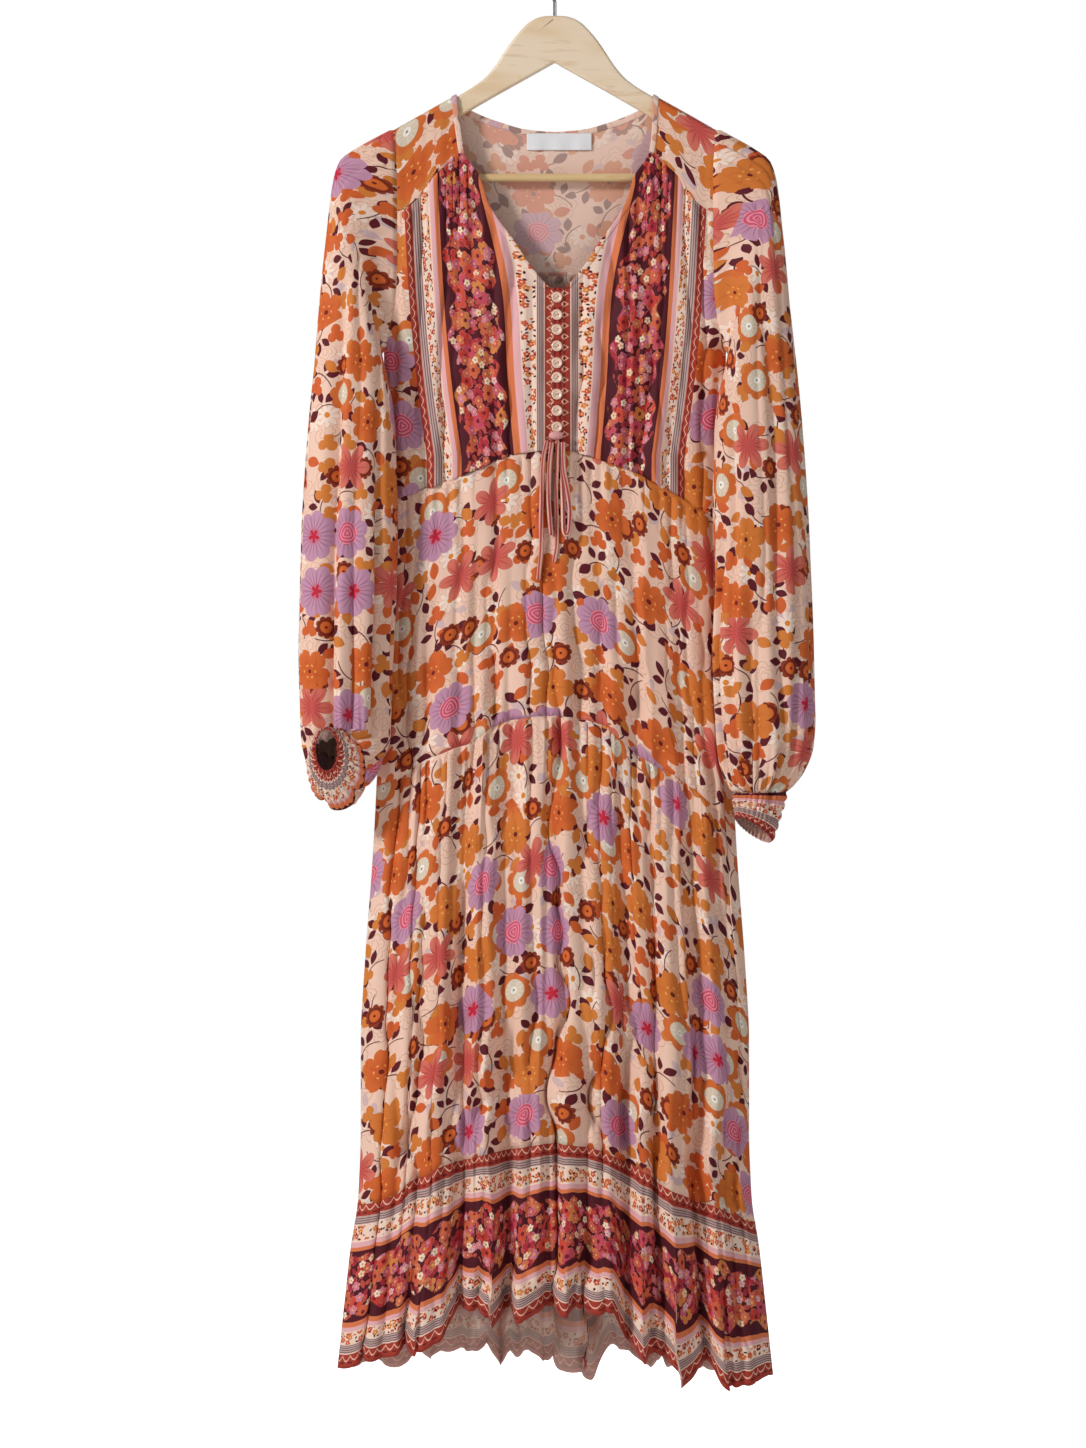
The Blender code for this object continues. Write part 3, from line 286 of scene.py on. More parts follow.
# Small pieces
LABEL_WIDTH = 0.072
LABEL_HEIGHT = 0.0187
LABEL_ACROSS = 0.0048
LABEL_MIDDLE = -0.2003
BUTTON_ACROSS = 0.0022
BUTTON_HEIGHTS = (
    -0.3744, -0.3937, -0.4102, -0.4283, -0.4470, -0.4630, -0.4817, -0.4998, -0.5180,
)
TIE_RADIUS = 0.0025
KNOT_HALF = (0.0080, 0.0045, 0.0048)
KNOT_MIDDLE = (0.0010, -0.0318, -0.5275)
TIE_ROUTES = {
    "tail_left": (
        (-0.0095, -0.0320, -0.5350), (-0.0122, -0.0304, -0.5500), (-0.0143, -0.0304, -0.5812),
        (-0.0154, -0.0314, -0.6241), (-0.0150, -0.0320, -0.6494), (-0.0182, -0.0328, -0.6846),
    ),
    "loop_left": (
        (-0.0034, -0.0360, -0.5350), (-0.0058, -0.0360, -0.5603), (-0.0070, -0.0364, -0.5955),
        (-0.0050, -0.0372, -0.6270), (-0.0042, -0.0368, -0.6330), (-0.0040, -0.0345, -0.6358),
        (-0.0042, -0.0320, -0.6330), (-0.0050, -0.0313, -0.6270), (-0.0068, -0.0306, -0.5955),
        (-0.0052, -0.0299, -0.5650), (-0.0034, -0.0302, -0.5350),
    ),
    "loop_right": (
        (0.0088, -0.0360, -0.5350), (0.0098, -0.0362, -0.5614), (0.0137, -0.0350, -0.5867),
        (0.0164, -0.0338, -0.6120), (0.0158, -0.0334, -0.6300), (0.0146, -0.0334, -0.6350),
        (0.0124, -0.0334, -0.6372), (0.0102, -0.0334, -0.6350), (0.0091, -0.0330, -0.6280),
        (0.0086, -0.0312, -0.6050), (0.0082, -0.0306, -0.5800), (0.0080, -0.0300, -0.5600),
        (0.0086, -0.0302, -0.5350),
    ),
    "tail_right": (
        (0.0027, -0.0330, -0.5350), (0.0022, -0.0322, -0.5614), (0.0010, -0.0320, -0.5867),
        (0.0016, -0.0322, -0.6241), (0.0020, -0.0322, -0.6480), (-0.0005, -0.0324, -0.6648),
    ),
}


def blend(at, knots, values):
    """Monotone cubic curve through the knots, held level beyond its ends; values may be points."""
    knots, values = np.asarray(knots, float), np.asarray(values, float)
    if knots[0] > knots[-1]:
        knots, values = knots[::-1], values[::-1]
    extra = (1,) * (values.ndim - 1)
    step = np.diff(knots).reshape(-1, *extra)
    slope = np.diff(values, axis=0) / step
    before, after = slope[:-1], slope[1:]
    turning = before * after <= 0
    total = np.where(turning, 1.0, before + after)
    inner = np.where(turning, 0.0, 2 * before * after / total)
    tangent = np.concatenate([slope[:1], inner, slope[-1:]])
    at = np.clip(at, knots[0], knots[-1])
    i = np.clip(np.searchsorted(knots, at, side="right") - 1, 0, len(knots) - 2)
    t = ((at - knots[i]) / (knots[i + 1] - knots[i])).reshape(np.shape(at) + extra)
    return (
        (2 * t**3 - 3 * t**2 + 1) * values[i]
        + (t**3 - 2 * t**2 + t) * step[i] * tangent[i]
        + (3 * t**2 - 2 * t**3) * values[i + 1]
        + (t**3 - t**2) * step[i] * tangent[i + 1]
    )


def read(source, along, wanted, at):
    return blend(at, source[along], source[wanted])


def half_width(height):
    return read(BODY, "height", "half_width", height)


def distances(line):
    """Distance of each point of a line from its first one, along it."""
    return np.concatenate([[0], np.cumsum(np.linalg.norm(np.diff(line, axis=0), axis=1))])


def ease(at):
    at = np.clip(at, 0.0, 1.0)
    return at * at * (3 - 2 * at)


def pulse(at, middle, width):
    return np.exp(-(((at - middle) / width) ** 2))


def spread(count):
    """Places across a face from -1 to 1, closer together towards the sides."""
    along = np.linspace(-1, 1, count + 1)
    return 0.4 * along + 0.6 * np.sin(0.5 * math.pi * along)


def ridge(across):
    return RIDGE_HEIGHT - RIDGE_SLOPE * (np.abs(across) - RIDGE_START)


def belly_of(share):
    return (1 - np.clip(np.abs(share), 0, 1) ** BELLY_POWER) ** BELLY_ROUND


def body_y(across, height, face):
    """Depth of the body form: depth of the section, rounded off at the sides and the shoulders."""
    half = half_width(height)
    depth = read(BODY, "height", "front" if face < 0 else "back", height)
    edge = np.sqrt(np.clip((height - UNDERARM) / ARMHOLE_ROUND, 0, 1))
    drop = np.clip((ridge(across) - height) / RIDGE_ROUND, 0, 1)
    over = np.sqrt(1 - (1 - drop) ** 2)
    return face * depth * over * (edge + (1 - edge) * belly_of(across / half))


def side_seam(y, face):
    """Keeps each face on its own side of the side seam."""
    return face * np.maximum(face * y, SIDE_GAP)


def seam(source, wanted, across):
    """Height of a seam, straight between the waist panel's coarse columns, as in the solids."""
    coarse = spread(WAIST_COLUMNS)
    return np.interp(across, coarse, read(source, "across", wanted, coarse))


def wander(at, seed, length):
    """A smooth uneven value from -1 to 1: three sines of unrelated lengths."""
    draw = np.random.default_rng(seed)
    total = np.zeros_like(np.asarray(at, float))
    for share, stretch in ((0.5, 1.0), (0.3, 0.47), (0.2, 0.23)):
        total += share * np.sin(2 * math.pi * at / (length * stretch) + draw.uniform(0, WHOLE_TURN))
    return total


def gathers(metres, down, whole, waves, seed):
    """Outward and sideways moves of gathered cloth.

    Each wave is a row of rounded ridges between narrow grooves, 2|sin|^0.6 - 1.4 of a phase that
    wanders along the seam. It fades exponentially below the seam, while the broad ones grow
    towards the lower edge; each crest leans a little to one side.
    """
    out = np.zeros_like(metres)
    lean = np.zeros_like(metres)
    start = ease(down / GATHER_START)
    for number, (length, top, fade, bottom) in enumerate(waves):
        key = seed * 10 + number
        drift = DRIFT * wander(down, key + 3, DRIFT_LENGTH) * np.clip(down / DRIFT_START, 0, 1)
        shift = PLACE_VARIES * wander(metres, key, PLACE_LENGTH)
        phase = math.pi * (metres / length + shift + drift)
        vary = 0.75 + HEIGHT_VARIES * wander(metres, key + 5, HEIGHT_LENGTH)
        reach = fade * (1.0 + FADE_VARIES * wander(metres, key + 7, FADE_LENGTH))
        size = start * vary * (top * np.exp(-down / reach) + bottom * ease(down / whole))
        out += size * (2 * np.abs(np.sin(phase)) ** RIDGE_POWER - WAVE_INWARDS)
        heading = np.tanh(3 * wander(metres, key + 9, LEAN_LENGTH))
        lean += LEAN * size * np.sin(2 * phase) * heading
    return out, lean


def fold_push(source, across, height):
    """How far the long folds draw the cloth inwards, deeper towards the hem."""
    fall = np.clip((FOLD_START - height) / (FOLD_START - FOLD_END), 0, 1)
    grown = FOLD_TOP_SHARE + (1 - FOLD_TOP_SHARE) * ease(fall)
    total = np.zeros_like(across)
    for top, bottom, depth, width in zip(*source.values()):
        middle = top + (bottom - top) * fall
        groove = GROOVE_DEPTH * pulse(across, middle, GROOVE_WIDTH * width)
        total = total + depth * (pulse(across, middle, width) + groove)
    return total * grown


def waist_push(across, height):
    total = np.zeros_like(across)
    for middle, depth, width, top, bottom in zip(*WAIST_FOLDS.values()):
        fall = (top - height) / (top - bottom)
        groove = GROOVE_DEPTH * pulse(across, middle, GROOVE_WIDTH * width)
        total = total + depth * (pulse(across, middle, width) + groove) * ease(fall)
    return total


def neck_shift(half, height):
    """How far the front neck and placket sit to the right of the middle."""
    near = 1 - np.clip(half / YOKE_SEAM["across"][-1], 0, 1) ** 2
    return NECK_CENTRE * near * ease((RIDGE_HEIGHT - height) / NECK_SHIFT_REACH)


def shares(count, power=1.0):
    """Rows from 0 to 1, closer together at the start when the power is above 1."""
    return np.linspace(0, 1, count) ** power


def run_along(points, axis):
    """Distance along one axis of a grid of points."""
    steps = np.linalg.norm(np.diff(points, axis=axis), axis=2)
    zero = np.zeros_like(np.take(steps, [0], axis=axis))
    return np.concatenate([zero, np.cumsum(steps, axis=axis)], axis=axis)


def flat_map(points):
    """UV of flat cloth in metres: mean distance along the rows, and distance down each column."""
    across = run_along(points, 1).mean(axis=0)[None]
    down = run_along(points, 0).mean(axis=1)[:, None]
    return np.stack(np.broadcast_arrays(across, -down), -1)


def sleeve_map(points):
    """UV of a sleeve opened at the underarm: mean distance from the crown, distance downwards."""
    level = len(points) // 2
    across = run_along(points, 1)[level:].mean(axis=0)[None] + 0 * points[:, :, 0]
    across = across - across[:, points.shape[1] // 2][:, None]
    down = run_along(points, 0)
    return np.stack([across, points[level, :, 2] - (down - down[level])], -1)


def cut_of(points, keep=None):
    """Flat width, length and area of a grid of cloth, in metres, from its own distances."""
    rows, columns = run_along(points, 1)[:, -1], run_along(points, 0)[-1]
    down = points[1:, :-1] - points[:-1, :-1]
    across = points[:-1, 1:] - points[:-1, :-1]
    areas = np.linalg.norm(np.cross(down, across), axis=2)
    if keep is not None:
        areas = areas[keep[1:, :-1] & keep[:-1, 1:]]
    width, length = float(rows.max()), float(columns.max())
    area = min(float(areas.sum()), width * length)
    return (round(width, 3), round(length, 3)), round(area, 4)


def grid_mesh(name, points, uv, keep=None, ring=False):
    """Quads over a grid of points (rows, columns, 3), with its UV map; ring closes each row."""
    keep = np.ones(points.shape[:2], bool) if keep is None else keep
    number = np.cumsum(keep.ravel()).reshape(keep.shape) - 1
    kept = keep
    if ring:
        number = np.concatenate([number, number[:, :1]], axis=1)
        kept = np.concatenate([keep, keep[:, :1]], axis=1)
    less, more = slice(None, -1), slice(1, None)
    corners = ((less, less), (more, less), (more, more), (less, more))
    whole = np.all([kept[corner] for corner in corners], axis=0).ravel()
    quads = np.stack([number[corner] for corner in corners], -1).reshape(-1, 4)[whole]
    uvs = np.stack([uv[corner] for corner in corners], 2).reshape(-1, 4, 2)[whole]
    mesh = bpy.data.meshes.new(name)
    mesh.from_pydata(points[keep].tolist(), [], quads.tolist())
    mesh.uv_layers.new(name="cloth").data.foreach_set("uv", uvs.ravel())
    mesh.shade_smooth()
    return mesh


def piece(name, mesh, materials, nodes=()):
    """A finished piece in the scene, riding on the only body."""
    obj = bpy.data.objects.new(name, mesh)
    bpy.context.scene.collection.objects.link(obj)
    for made in materials:
        mesh.materials.append(made)
    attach(obj, "root")
    if nodes:
        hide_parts(*nodes)
    return obj


def thicken(obj, wall=CLOTH, inner=1):
    """Gives a surface its wall; its inner side takes the material of the cloth's wrong side."""
    solid = obj.modifiers.new("wall", "SOLIDIFY")
    solid.thickness = wall
    solid.offset = 0.0
    solid.material_offset = inner
    return obj


def colour(code):
    """Linear colour from a hexadecimal sRGB one."""
    parts = np.array([int(code[i:i + 2], 16) for i in (0, 2, 4)]) / 255
    linear = np.where(parts <= 0.04045, parts / 12.92, ((parts + 0.055) / 1.055) ** 2.4)
    return (*linear.tolist(), 1.0)


class Number:
    """A value over the surface, as a socket of one node tree; arithmetic adds Math nodes."""

    def __init__(self, tree, socket):
        self.tree = tree
        self.socket = socket

    def math(self, operation, *others):
        made = node(self.tree, "Math", enumerate((self, *others)), operation=operation)
        return Number(self.tree, made.outputs[0])

    def __add__(self, other):
        return self.math("ADD", other)

    def __sub__(self, other):
        return self.math("SUBTRACT", other)

    def __mul__(self, other):
        return self.math("MULTIPLY", other)

    def __truediv__(self, other):
        return self.math("DIVIDE", other)

    def __pow__(self, other):
        return self.math("POWER", other)

    def above(self, limit):
        return self.math("GREATER_THAN", limit)

    def below(self, limit):
        return self.math("LESS_THAN", limit)

    def abs(self):
        return self.math("ABSOLUTE")

    def sin(self):
        return self.math("SINE")

    def cos(self):
        return self.math("COSINE")

    def most(self, other):
        return self.math("MAXIMUM", other)

    def least(self, other):
        return self.math("MINIMUM", other)

    def fade(self, start, end):
        """0 before start, 1 after end, smooth between; falls instead where end is below start."""
        rising = end > start
        made = node(self.tree, "MapRange", {
            "Value": self, "From Min": min(start, end), "From Max": max(start, end),
            "To Min": float(not rising), "To Max": float(rising),
        }, interpolation_type="SMOOTHSTEP")
        return Number(self.tree, made.outputs["Result"])


def feed(tree, socket, value):
    """Links a Number or a socket into an input, or sets its value or hexadecimal colour."""
    if isinstance(value, Number):
        value = value.socket
    if isinstance(value, bpy.types.NodeSocket):
        tree.links.new(value, socket)
    else:
        socket.default_value = colour(value) if isinstance(value, str) else value


def node(tree, kind, inputs=(), **settings):
    """A new shader node with its settings, and what feeds its inputs by their name or number."""
    made = tree.nodes.new("ShaderNode" + kind)
    for name, value in settings.items():
        setattr(made, name, value)
    for key, value in dict(inputs).items():
        feed(tree, made.inputs[key], value)
    return made


def mixed(tree, share, under, over):
    """Colour over laid on colour under by a share; colours are sockets or hexadecimal codes."""
    return node(tree, "Mix", {"Factor": share, 6: under, 7: over}, data_type="RGBA").outputs[2]


def plane(tree, uv, *shift):
    """The UV moved, so that each layer of a print has its own layout."""
    return node(tree, "Mapping", {"Vector": uv, "Location": (*shift, 0)}).outputs["Vector"]


def noise(tree, vector, scale, detail, **settings):
    return node(tree, "TexNoise", {"Vector": vector, "Scale": scale, "Detail": detail}, **settings)


def split(tree, vector):
    return [Number(tree, socket) for socket in node(tree, "SeparateXYZ", {0: vector}).outputs]


def scatter(tree, uv, spacing, uneven):
    """Cells about one spacing wide: vector from the nearest middle, and three draws a cell."""
    cells = node(tree, "TexVoronoi", {
        "Vector": uv, "Scale": 1.0 / spacing, "Randomness": uneven,
    }, voronoi_dimensions="2D")
    away = node(tree, "VectorMath", {0: uv, 1: cells.outputs["Position"]}, operation="SUBTRACT")
    x, y, _ = split(tree, away.outputs[0])
    return x, y, split(tree, cells.outputs["Color"])


def stripes(tree, place, stops):
    """Hard-edged colours: each stop's colour holds from its own place to the next."""
    made = node(tree, "ValToRGB", {0: place})
    ramp = made.color_ramp
    ramp.interpolation = "CONSTANT"
    while len(ramp.elements) < len(stops):
        ramp.elements.new(0.5)
    for element, (start, code) in zip(ramp.elements, stops):
        element.position = start
        element.color = colour(code)
    return made.outputs[0]


def polar(x, y, draw):
    """Distance from the middle and angle round it, turned by a draw from 0 to 1."""
    reach = (x * x + y * y).math("SQRT")
    angle = y.math("ARCTAN2", x) + draw * WHOLE_TURN
    return reach, angle


def petals(angle, count, floor, power):
    """Outline of a flower: 1 at the middle of each petal, down to floor between two petals."""
    wave = (angle * (count / 2)).cos().abs() ** power
    return wave * (1 - floor) + floor


def leaf(x, y, turn, length, width, out=0.0):
    """Mask of a pointed leaf: its half width is width (1 - (along / length)^2)."""
    along = x * turn.cos() + y * turn.sin() - out
    side = (y * turn.cos() - x * turn.sin()).abs()
    edge = (along / length) * (along / length) * -width + width
    return (edge - side).fade(0.0, 0.0005)


def group(name, output, kind):
    """An empty node group from a vector to one output: its tree, its vector and its end node."""
    tree = bpy.data.node_groups.new(name, "ShaderNodeTree")
    tree.interface.new_socket("Vector", in_out="INPUT", socket_type="NodeSocketVector")
    tree.interface.new_socket(output, in_out="OUTPUT", socket_type=kind)
    start = tree.nodes.new("NodeGroupInput")
    return tree, start.outputs["Vector"], tree.nodes.new("NodeGroupOutput")


def use(tree, pattern, vector):
    """The output of a node group, read at a vector."""
    return node(tree, "Group", {"Vector": vector}, node_tree=pattern).outputs[0]


def hand_drawn(tree, uv, amount, scale):
    """The UV shaken by a soft noise, so that outlines look drawn by hand."""
    soft = noise(tree, uv, scale, 1.0, noise_dimensions="2D")
    shake = {0: soft.outputs["Color"], 1: (amount, amount, 0), 2: uv}
    return node(tree, "VectorMath", shake, operation="MULTIPLY_ADD").outputs[0]


def floral_group():
    """The scattered floral: layers from the ground up, each on cells of its own."""
    tree, uv, end = group("scattered_floral", "Color", "NodeSocketColor")
    uv = hand_drawn(tree, uv, 0.0030, 30.0)
    ground = "EDC5B0"

    # Outlined roses, grey leaves, and pale daisies with orange hearts
    x, y, draw = scatter(tree, plane(tree, uv, 0.31, 0.12), 0.038, 0.9)
    reach, angle = polar(x, y, draw[0])
    edge = petals(angle, 5, 0.62, 0.7) * (draw[1] * 0.006 + 0.014)
    line = (reach - edge).abs().fade(0.0008, 0.0002)
    inner = (reach - edge * 0.62).abs().fade(0.0007, 0.0002)
    heart = (reach - edge * 0.30).abs().fade(0.0007, 0.0002)
    lines = line.most(inner).most(heart)
    shown = mixed(tree, lines * 0.62, ground, "C08C70")
    grey = leaf(x, y, draw[2] * WHOLE_TURN, 0.0105, 0.0050, 0.019) * draw[1].above(0.35)
    shown = mixed(tree, grey * 0.80, shown, "C9ADB2")
    x, y, draw = scatter(tree, plane(tree, uv, 0.91, 0.62), 0.055, 0.8)
    reach, angle = polar(x, y, draw[0])
    edge = petals(angle, 9, 0.30, 0.8) * 0.0145
    shown = mixed(tree, (edge - reach).fade(0.0, 0.0004) * 0.75, shown, "F6E1D2")
    shown = mixed(tree, (edge - reach).abs().fade(0.0006, 0.0002) * 0.6, shown, "B98468")
    shown = mixed(tree, reach.fade(0.0034, 0.0028), shown, "D9822F")

    # Vines with dark leaves
    x, y, draw = scatter(tree, plane(tree, uv, 0.07, 0.41), 0.043, 0.85)
    turn = draw[0] * WHOLE_TURN
    along = x * turn.cos() + y * turn.sin()
    side = y * turn.cos() - x * turn.sin()
    stem = (side - along * along * 22).abs().fade(0.0009, 0.0004) * along.abs().below(0.017)
    for place, bend, long, wide in (
        (0.017, 0.35, 0.0094, 0.0056), (0.013, 3.7, 0.0084, 0.0048), (0.011, -1.5, 0.0074, 0.0044),
    ):
        stem = stem.most(leaf(x, y, turn + bend, long, wide, place))
    shown = mixed(tree, stem * draw[1].above(0.12), shown, "5C1420")

    # Marigold leaves and buds
    x, y, draw = scatter(tree, plane(tree, uv, 0.53, 0.29), 0.027, 0.85)
    bud = leaf(x, y, draw[0] * WHOLE_TURN, 0.0100, 0.0062)
    reach, angle = polar(x, y, draw[2])
    lobes = (petals(angle, 3, 0.45, 0.8) * 0.0115 - reach).fade(0.0, 0.0005)
    gold = mixed(tree, draw[1].above(0.62), "D17A34", "CE5E2B")
    shape = bud * draw[2].above(0.45) + lobes * draw[2].below(0.45)
    shown = mixed(tree, shape * draw[1].above(0.26), shown, gold)

    # Rust daisies and cream-hearted flowers
    x, y, draw = scatter(tree, plane(tree, uv, 0.19, 0.77), 0.057, 0.8)
    reach, angle = polar(x, y, draw[0])
    edge = petals(angle, 9, 0.80, 0.8) * 0.0130
    inside = (edge - reach).fade(0.0, 0.0005)
    rust = mixed(tree, reach.fade(0.0068, 0.0058), "8A3015", "D4662A")
    rust = mixed(tree, (reach - 0.0082).abs().fade(0.0007, 0.0003), rust, "5E1710")
    rust = mixed(tree, reach.fade(0.0019, 0.0012), rust, "6A1A10")
    shown = mixed(tree, inside * draw[1].below(0.45), shown, rust)
    edge = petals(angle, 8, 0.82, 0.6) * 0.0215
    inside = (edge - reach).fade(0.0, 0.0005)
    cream = mixed(tree, reach.fade(0.0128, 0.0121), "D06A30", "D6C4AE")
    rays = (angle * 12).cos().fade(0.35, 0.6) * reach.fade(0.004, 0.006) * reach.fade(0.012, 0.011)
    cream = mixed(tree, rays * 0.45, cream, "E6DCC8")
    cream = mixed(tree, reach.fade(0.0045, 0.0038), cream, "F1EADF")
    cream = mixed(tree, reach.fade(0.0017, 0.0010), cream, "8E8078")
    shown = mixed(tree, inside * draw[1].above(0.74), shown, cream)

    # Large flowers: orange, lilac and coral
    x, y, draw = scatter(tree, plane(tree, uv, 0.0, 0.0), 0.067, 0.72)
    reach, angle = polar(x, y, draw[0])
    kind = draw[1]
    edge = petals(angle, 5, 0.60, 0.55) * 0.0255
    notch = (angle * 2.5).cos().abs().fade(0.93, 1.0) * -0.0022
    inside = (edge + notch - reach).fade(0.0, 0.0005)
    vein = (angle * 2.5).cos().abs().fade(0.985, 0.998) * reach.fade(0.018, 0.010)
    orange = mixed(tree, reach.fade(0.024, 0.004) * 0.4, "D2672D", "BE461C")
    orange = mixed(tree, draw[2].above(0.6) * 0.75, orange, "D27A33")
    orange = mixed(tree, vein * 0.4, orange, "A63A18")
    dots = (angle * 6).cos().fade(0.3, 0.6) * (reach - 0.0075).abs().fade(0.0011, 0.0006)
    orange = mixed(tree, dots, orange, "E8A552")
    orange = mixed(tree, reach.fade(0.0030, 0.0022), orange, "6E1C14")
    shown = mixed(tree, inside * kind.below(0.42), shown, orange)

    edge = petals(angle, 8, 0.78, 0.6) * 0.0285
    inside = (edge - reach).fade(0.0, 0.0005)
    veins = (angle * 20).cos().fade(0.55, 0.9) * reach.fade(0.027, 0.012)
    lilac = mixed(tree, veins * 0.75, "C08DA6", "93506F")
    between = (angle * 4).cos().abs().fade(0.10, 0.02) * reach.fade(0.006, 0.010)
    lilac = mixed(tree, between * 0.7, lilac, "86536F")
    lilac = mixed(tree, reach.fade(0.013, 0.003) * 0.6, lilac, "C8324C")
    star = (petals(angle, 5, 0.35, 1.2) * 0.0085 - reach).fade(0.0, 0.0008)
    lilac = mixed(tree, star, lilac, "BE1F38")
    rings = (petals(angle + 0.4, 7, 0.80, 0.7) * 0.0135 - reach).fade(0.0, 0.0005)
    turns = (reach * 1700 + (angle * 3).sin() * 1.2).sin()
    rose = mixed(tree, turns.fade(-0.2, 0.5), "C9506E", "E88A98")
    rose = mixed(tree, rings * draw[2].above(0.5), lilac, rose)
    shown = mixed(tree, inside * kind.above(0.42) * kind.below(0.62), shown, rose)

    edge = petals(angle, 6, 0.42, 0.9) * 0.0270
    inside = (edge - reach).fade(0.0, 0.0005)
    lines = (angle * 15).cos().fade(0.6, 0.95) * reach.fade(0.026, 0.008)
    coral = mixed(tree, reach.fade(0.022, 0.004) * 0.6, "D4705E", "C0393C")
    coral = mixed(tree, lines * 0.8, coral, "A8303C")
    shown = mixed(tree, inside * kind.above(0.62) * kind.below(0.84), shown, coral)

    tree.links.new(shown, end.inputs["Color"])
    return tree


def flower_dots(tree, uv, shown, spacing, size, colours, heart, threshold, room):
    """Small five-petalled flowers on cells, each in one of the colours, with a light heart."""
    x, y, draw = scatter(tree, uv, spacing, 0.9)
    reach, angle = polar(x, y, draw[0])
    edge = petals(angle, 5, 0.58, 0.6) * size
    kinds = stripes(tree, draw[1], [(k / len(colours), code) for k, code in enumerate(colours)])
    rim = mixed(tree, (edge - reach).fade(0.0009, 0.0003) * 0.5, kinds, "EFB08C")
    flower = mixed(tree, reach.fade(size * 0.30, size * 0.18), rim, heart)
    mask = (edge - reach).fade(0.0, 0.0004) * draw[2].above(threshold) * room
    return mixed(tree, mask, shown, flower)


# Stripes of the border print, from its upper edge down, in metres of flat cloth
BORDER_STRIPES = (
    (0.000, "A5392B"), (0.0155, "EEC9B8"), (0.0165, "BFA29B"), (0.0250, "F0D2C0"),
    (0.0455, "E3ABAE"), (0.0515, "D9764A"), (0.0560, "4E0F1C"), (0.1370, "D9764A"),
    (0.1425, "E3ABAE"), (0.1480, "F0D2C0"), (0.1640, "BFA29B"), (0.1730, "EEC9B8"),
    (0.1740, "A5392B"),
)
BORDER_WIDTH = 0.187


def border_group():
    """The border print: stripes by the distance down, with small flowers, leaves and dots."""
    tree, uv, end = group("striped_border", "Color", "NodeSocketColor")
    along, raw, _ = split(tree, uv)
    down = raw * -1.0
    stops = [(place / BORDER_WIDTH, code) for place, code in BORDER_STRIPES]
    shown = stripes(tree, down / BORDER_WIDTH, stops)

    # Pin lines in the two grey stripes
    pins = (down * 2417).sin().fade(0.0, 0.5)
    grey = (down.above(0.0165) * down.below(0.0250)).most(down.above(0.1640) * down.below(0.1730))
    shown = mixed(tree, pins * grey * 0.9, shown, "64424A")

    # Rust edges: a pale zigzag with dots under its points
    zig = (along * 262).sin().abs()
    upper = (down - zig * 0.0058 - 0.0035).abs().fade(0.0011, 0.0005)
    lower = (down - zig * 0.0058 - 0.1765).abs().fade(0.0011, 0.0005)
    rust = down.below(0.0155).most(down.above(0.1740))
    shown = mixed(tree, upper.most(lower) * rust, shown, "EDBBA4")
    beside = (along * 262).cos().abs() * -0.004 + 0.004
    far = (down - 0.0125).abs().most(beside)
    near = (down - 0.1844).abs().most(beside)
    shown = mixed(tree, far.least(near).fade(0.0014, 0.0008) * rust, shown, "711A1C")

    # Small orange flowers and dark leaves on the cream stripes
    cream = (down.above(0.0270) * down.below(0.0440)).most(down.above(0.1495) * down.below(0.1630))
    oranges = ("CF5F30", "D8823C", "C64A3A")
    shown = flower_dots(
        tree, plane(tree, uv, 0.27, 0.6), shown, 0.0088, 0.0040, oranges, "EFC48C", 0.12, cream
    )
    x, y, draw = scatter(tree, plane(tree, uv, 0.02, 0.013), 0.0060, 0.85)
    small = leaf(x, y, draw[0] * WHOLE_TURN, 0.0023, 0.0013)
    leaves = mixed(tree, draw[1].above(0.72), "4A1420", "D2622F")
    shown = mixed(tree, small * cream * draw[2].above(0.25), shown, leaves)

    # Bouquets on the dark band
    middle = (down - 0.0965).abs()
    clump = (along * 78).sin() * 0.0050 + (along * 203).sin() * 0.0035 + 0.0315
    room = (middle - clump).fade(0.0015, -0.0015) * down.above(0.0575) * down.below(0.1355)
    vines = (down - (along * 130).sin() * 0.016 - 0.0965).abs().fade(0.0009, 0.0004)
    shown = mixed(tree, vines * room * 0.9, shown, "C9606A")
    x, y, draw = scatter(tree, plane(tree, uv, 0.011, 0.037), 0.0092, 0.9)
    blades = leaf(x, y, draw[0] * WHOLE_TURN, 0.0062, 0.0030) * draw[2].above(0.1)
    reds = mixed(tree, draw[1].above(0.5), "A32A36", "BF4A3E")
    shown = mixed(tree, blades * room, shown, reds)
    for shift, spacing, size, colours, heart, threshold in (
        ((0.6, 0.1), 0.0195, 0.0100,
         ("C2382F", "CF4A38", "AE2A3A", "CC5F3C", "C4485A", "D27F40"), "7A1826", 0.10),
        ((0.4, 0.21), 0.0140, 0.0058, ("D07A90", "C55A48", "BE5574", "CF6E4C"), "E8A860", 0.25),
        ((0.83, 0.5), 0.0185, 0.0046, ("EEDBBE", "E8C9A8", "DDB0B4"), "CC7434", 0.42),
    ):
        shown = flower_dots(
            tree, plane(tree, uv, *shift), shown, spacing, size, colours, heart, threshold, room
        )
    tree.links.new(shown, end.inputs["Color"])
    return tree


def weave_group():
    """Fine weave and soft crumple of the cloth, as one height."""
    tree, uv, end = group("viscose_weave", "Height", "NodeSocketFloat")
    along, down, _ = split(tree, uv)
    total = (along * THREADS).sin() * (down * THREADS).sin() * 0.04
    for scale, size in ((60.0, 0.55), (190.0, 0.22)):
        crumple = noise(tree, uv, scale, 2.0, noise_dimensions="2D")
        total = total + Number(tree, crumple.outputs["Fac"]) * size
    feed(tree, end.inputs["Height"], total)
    return tree


def new_material(name):
    made = bpy.data.materials.new(name)
    made.use_nodes = True
    return made, made.node_tree


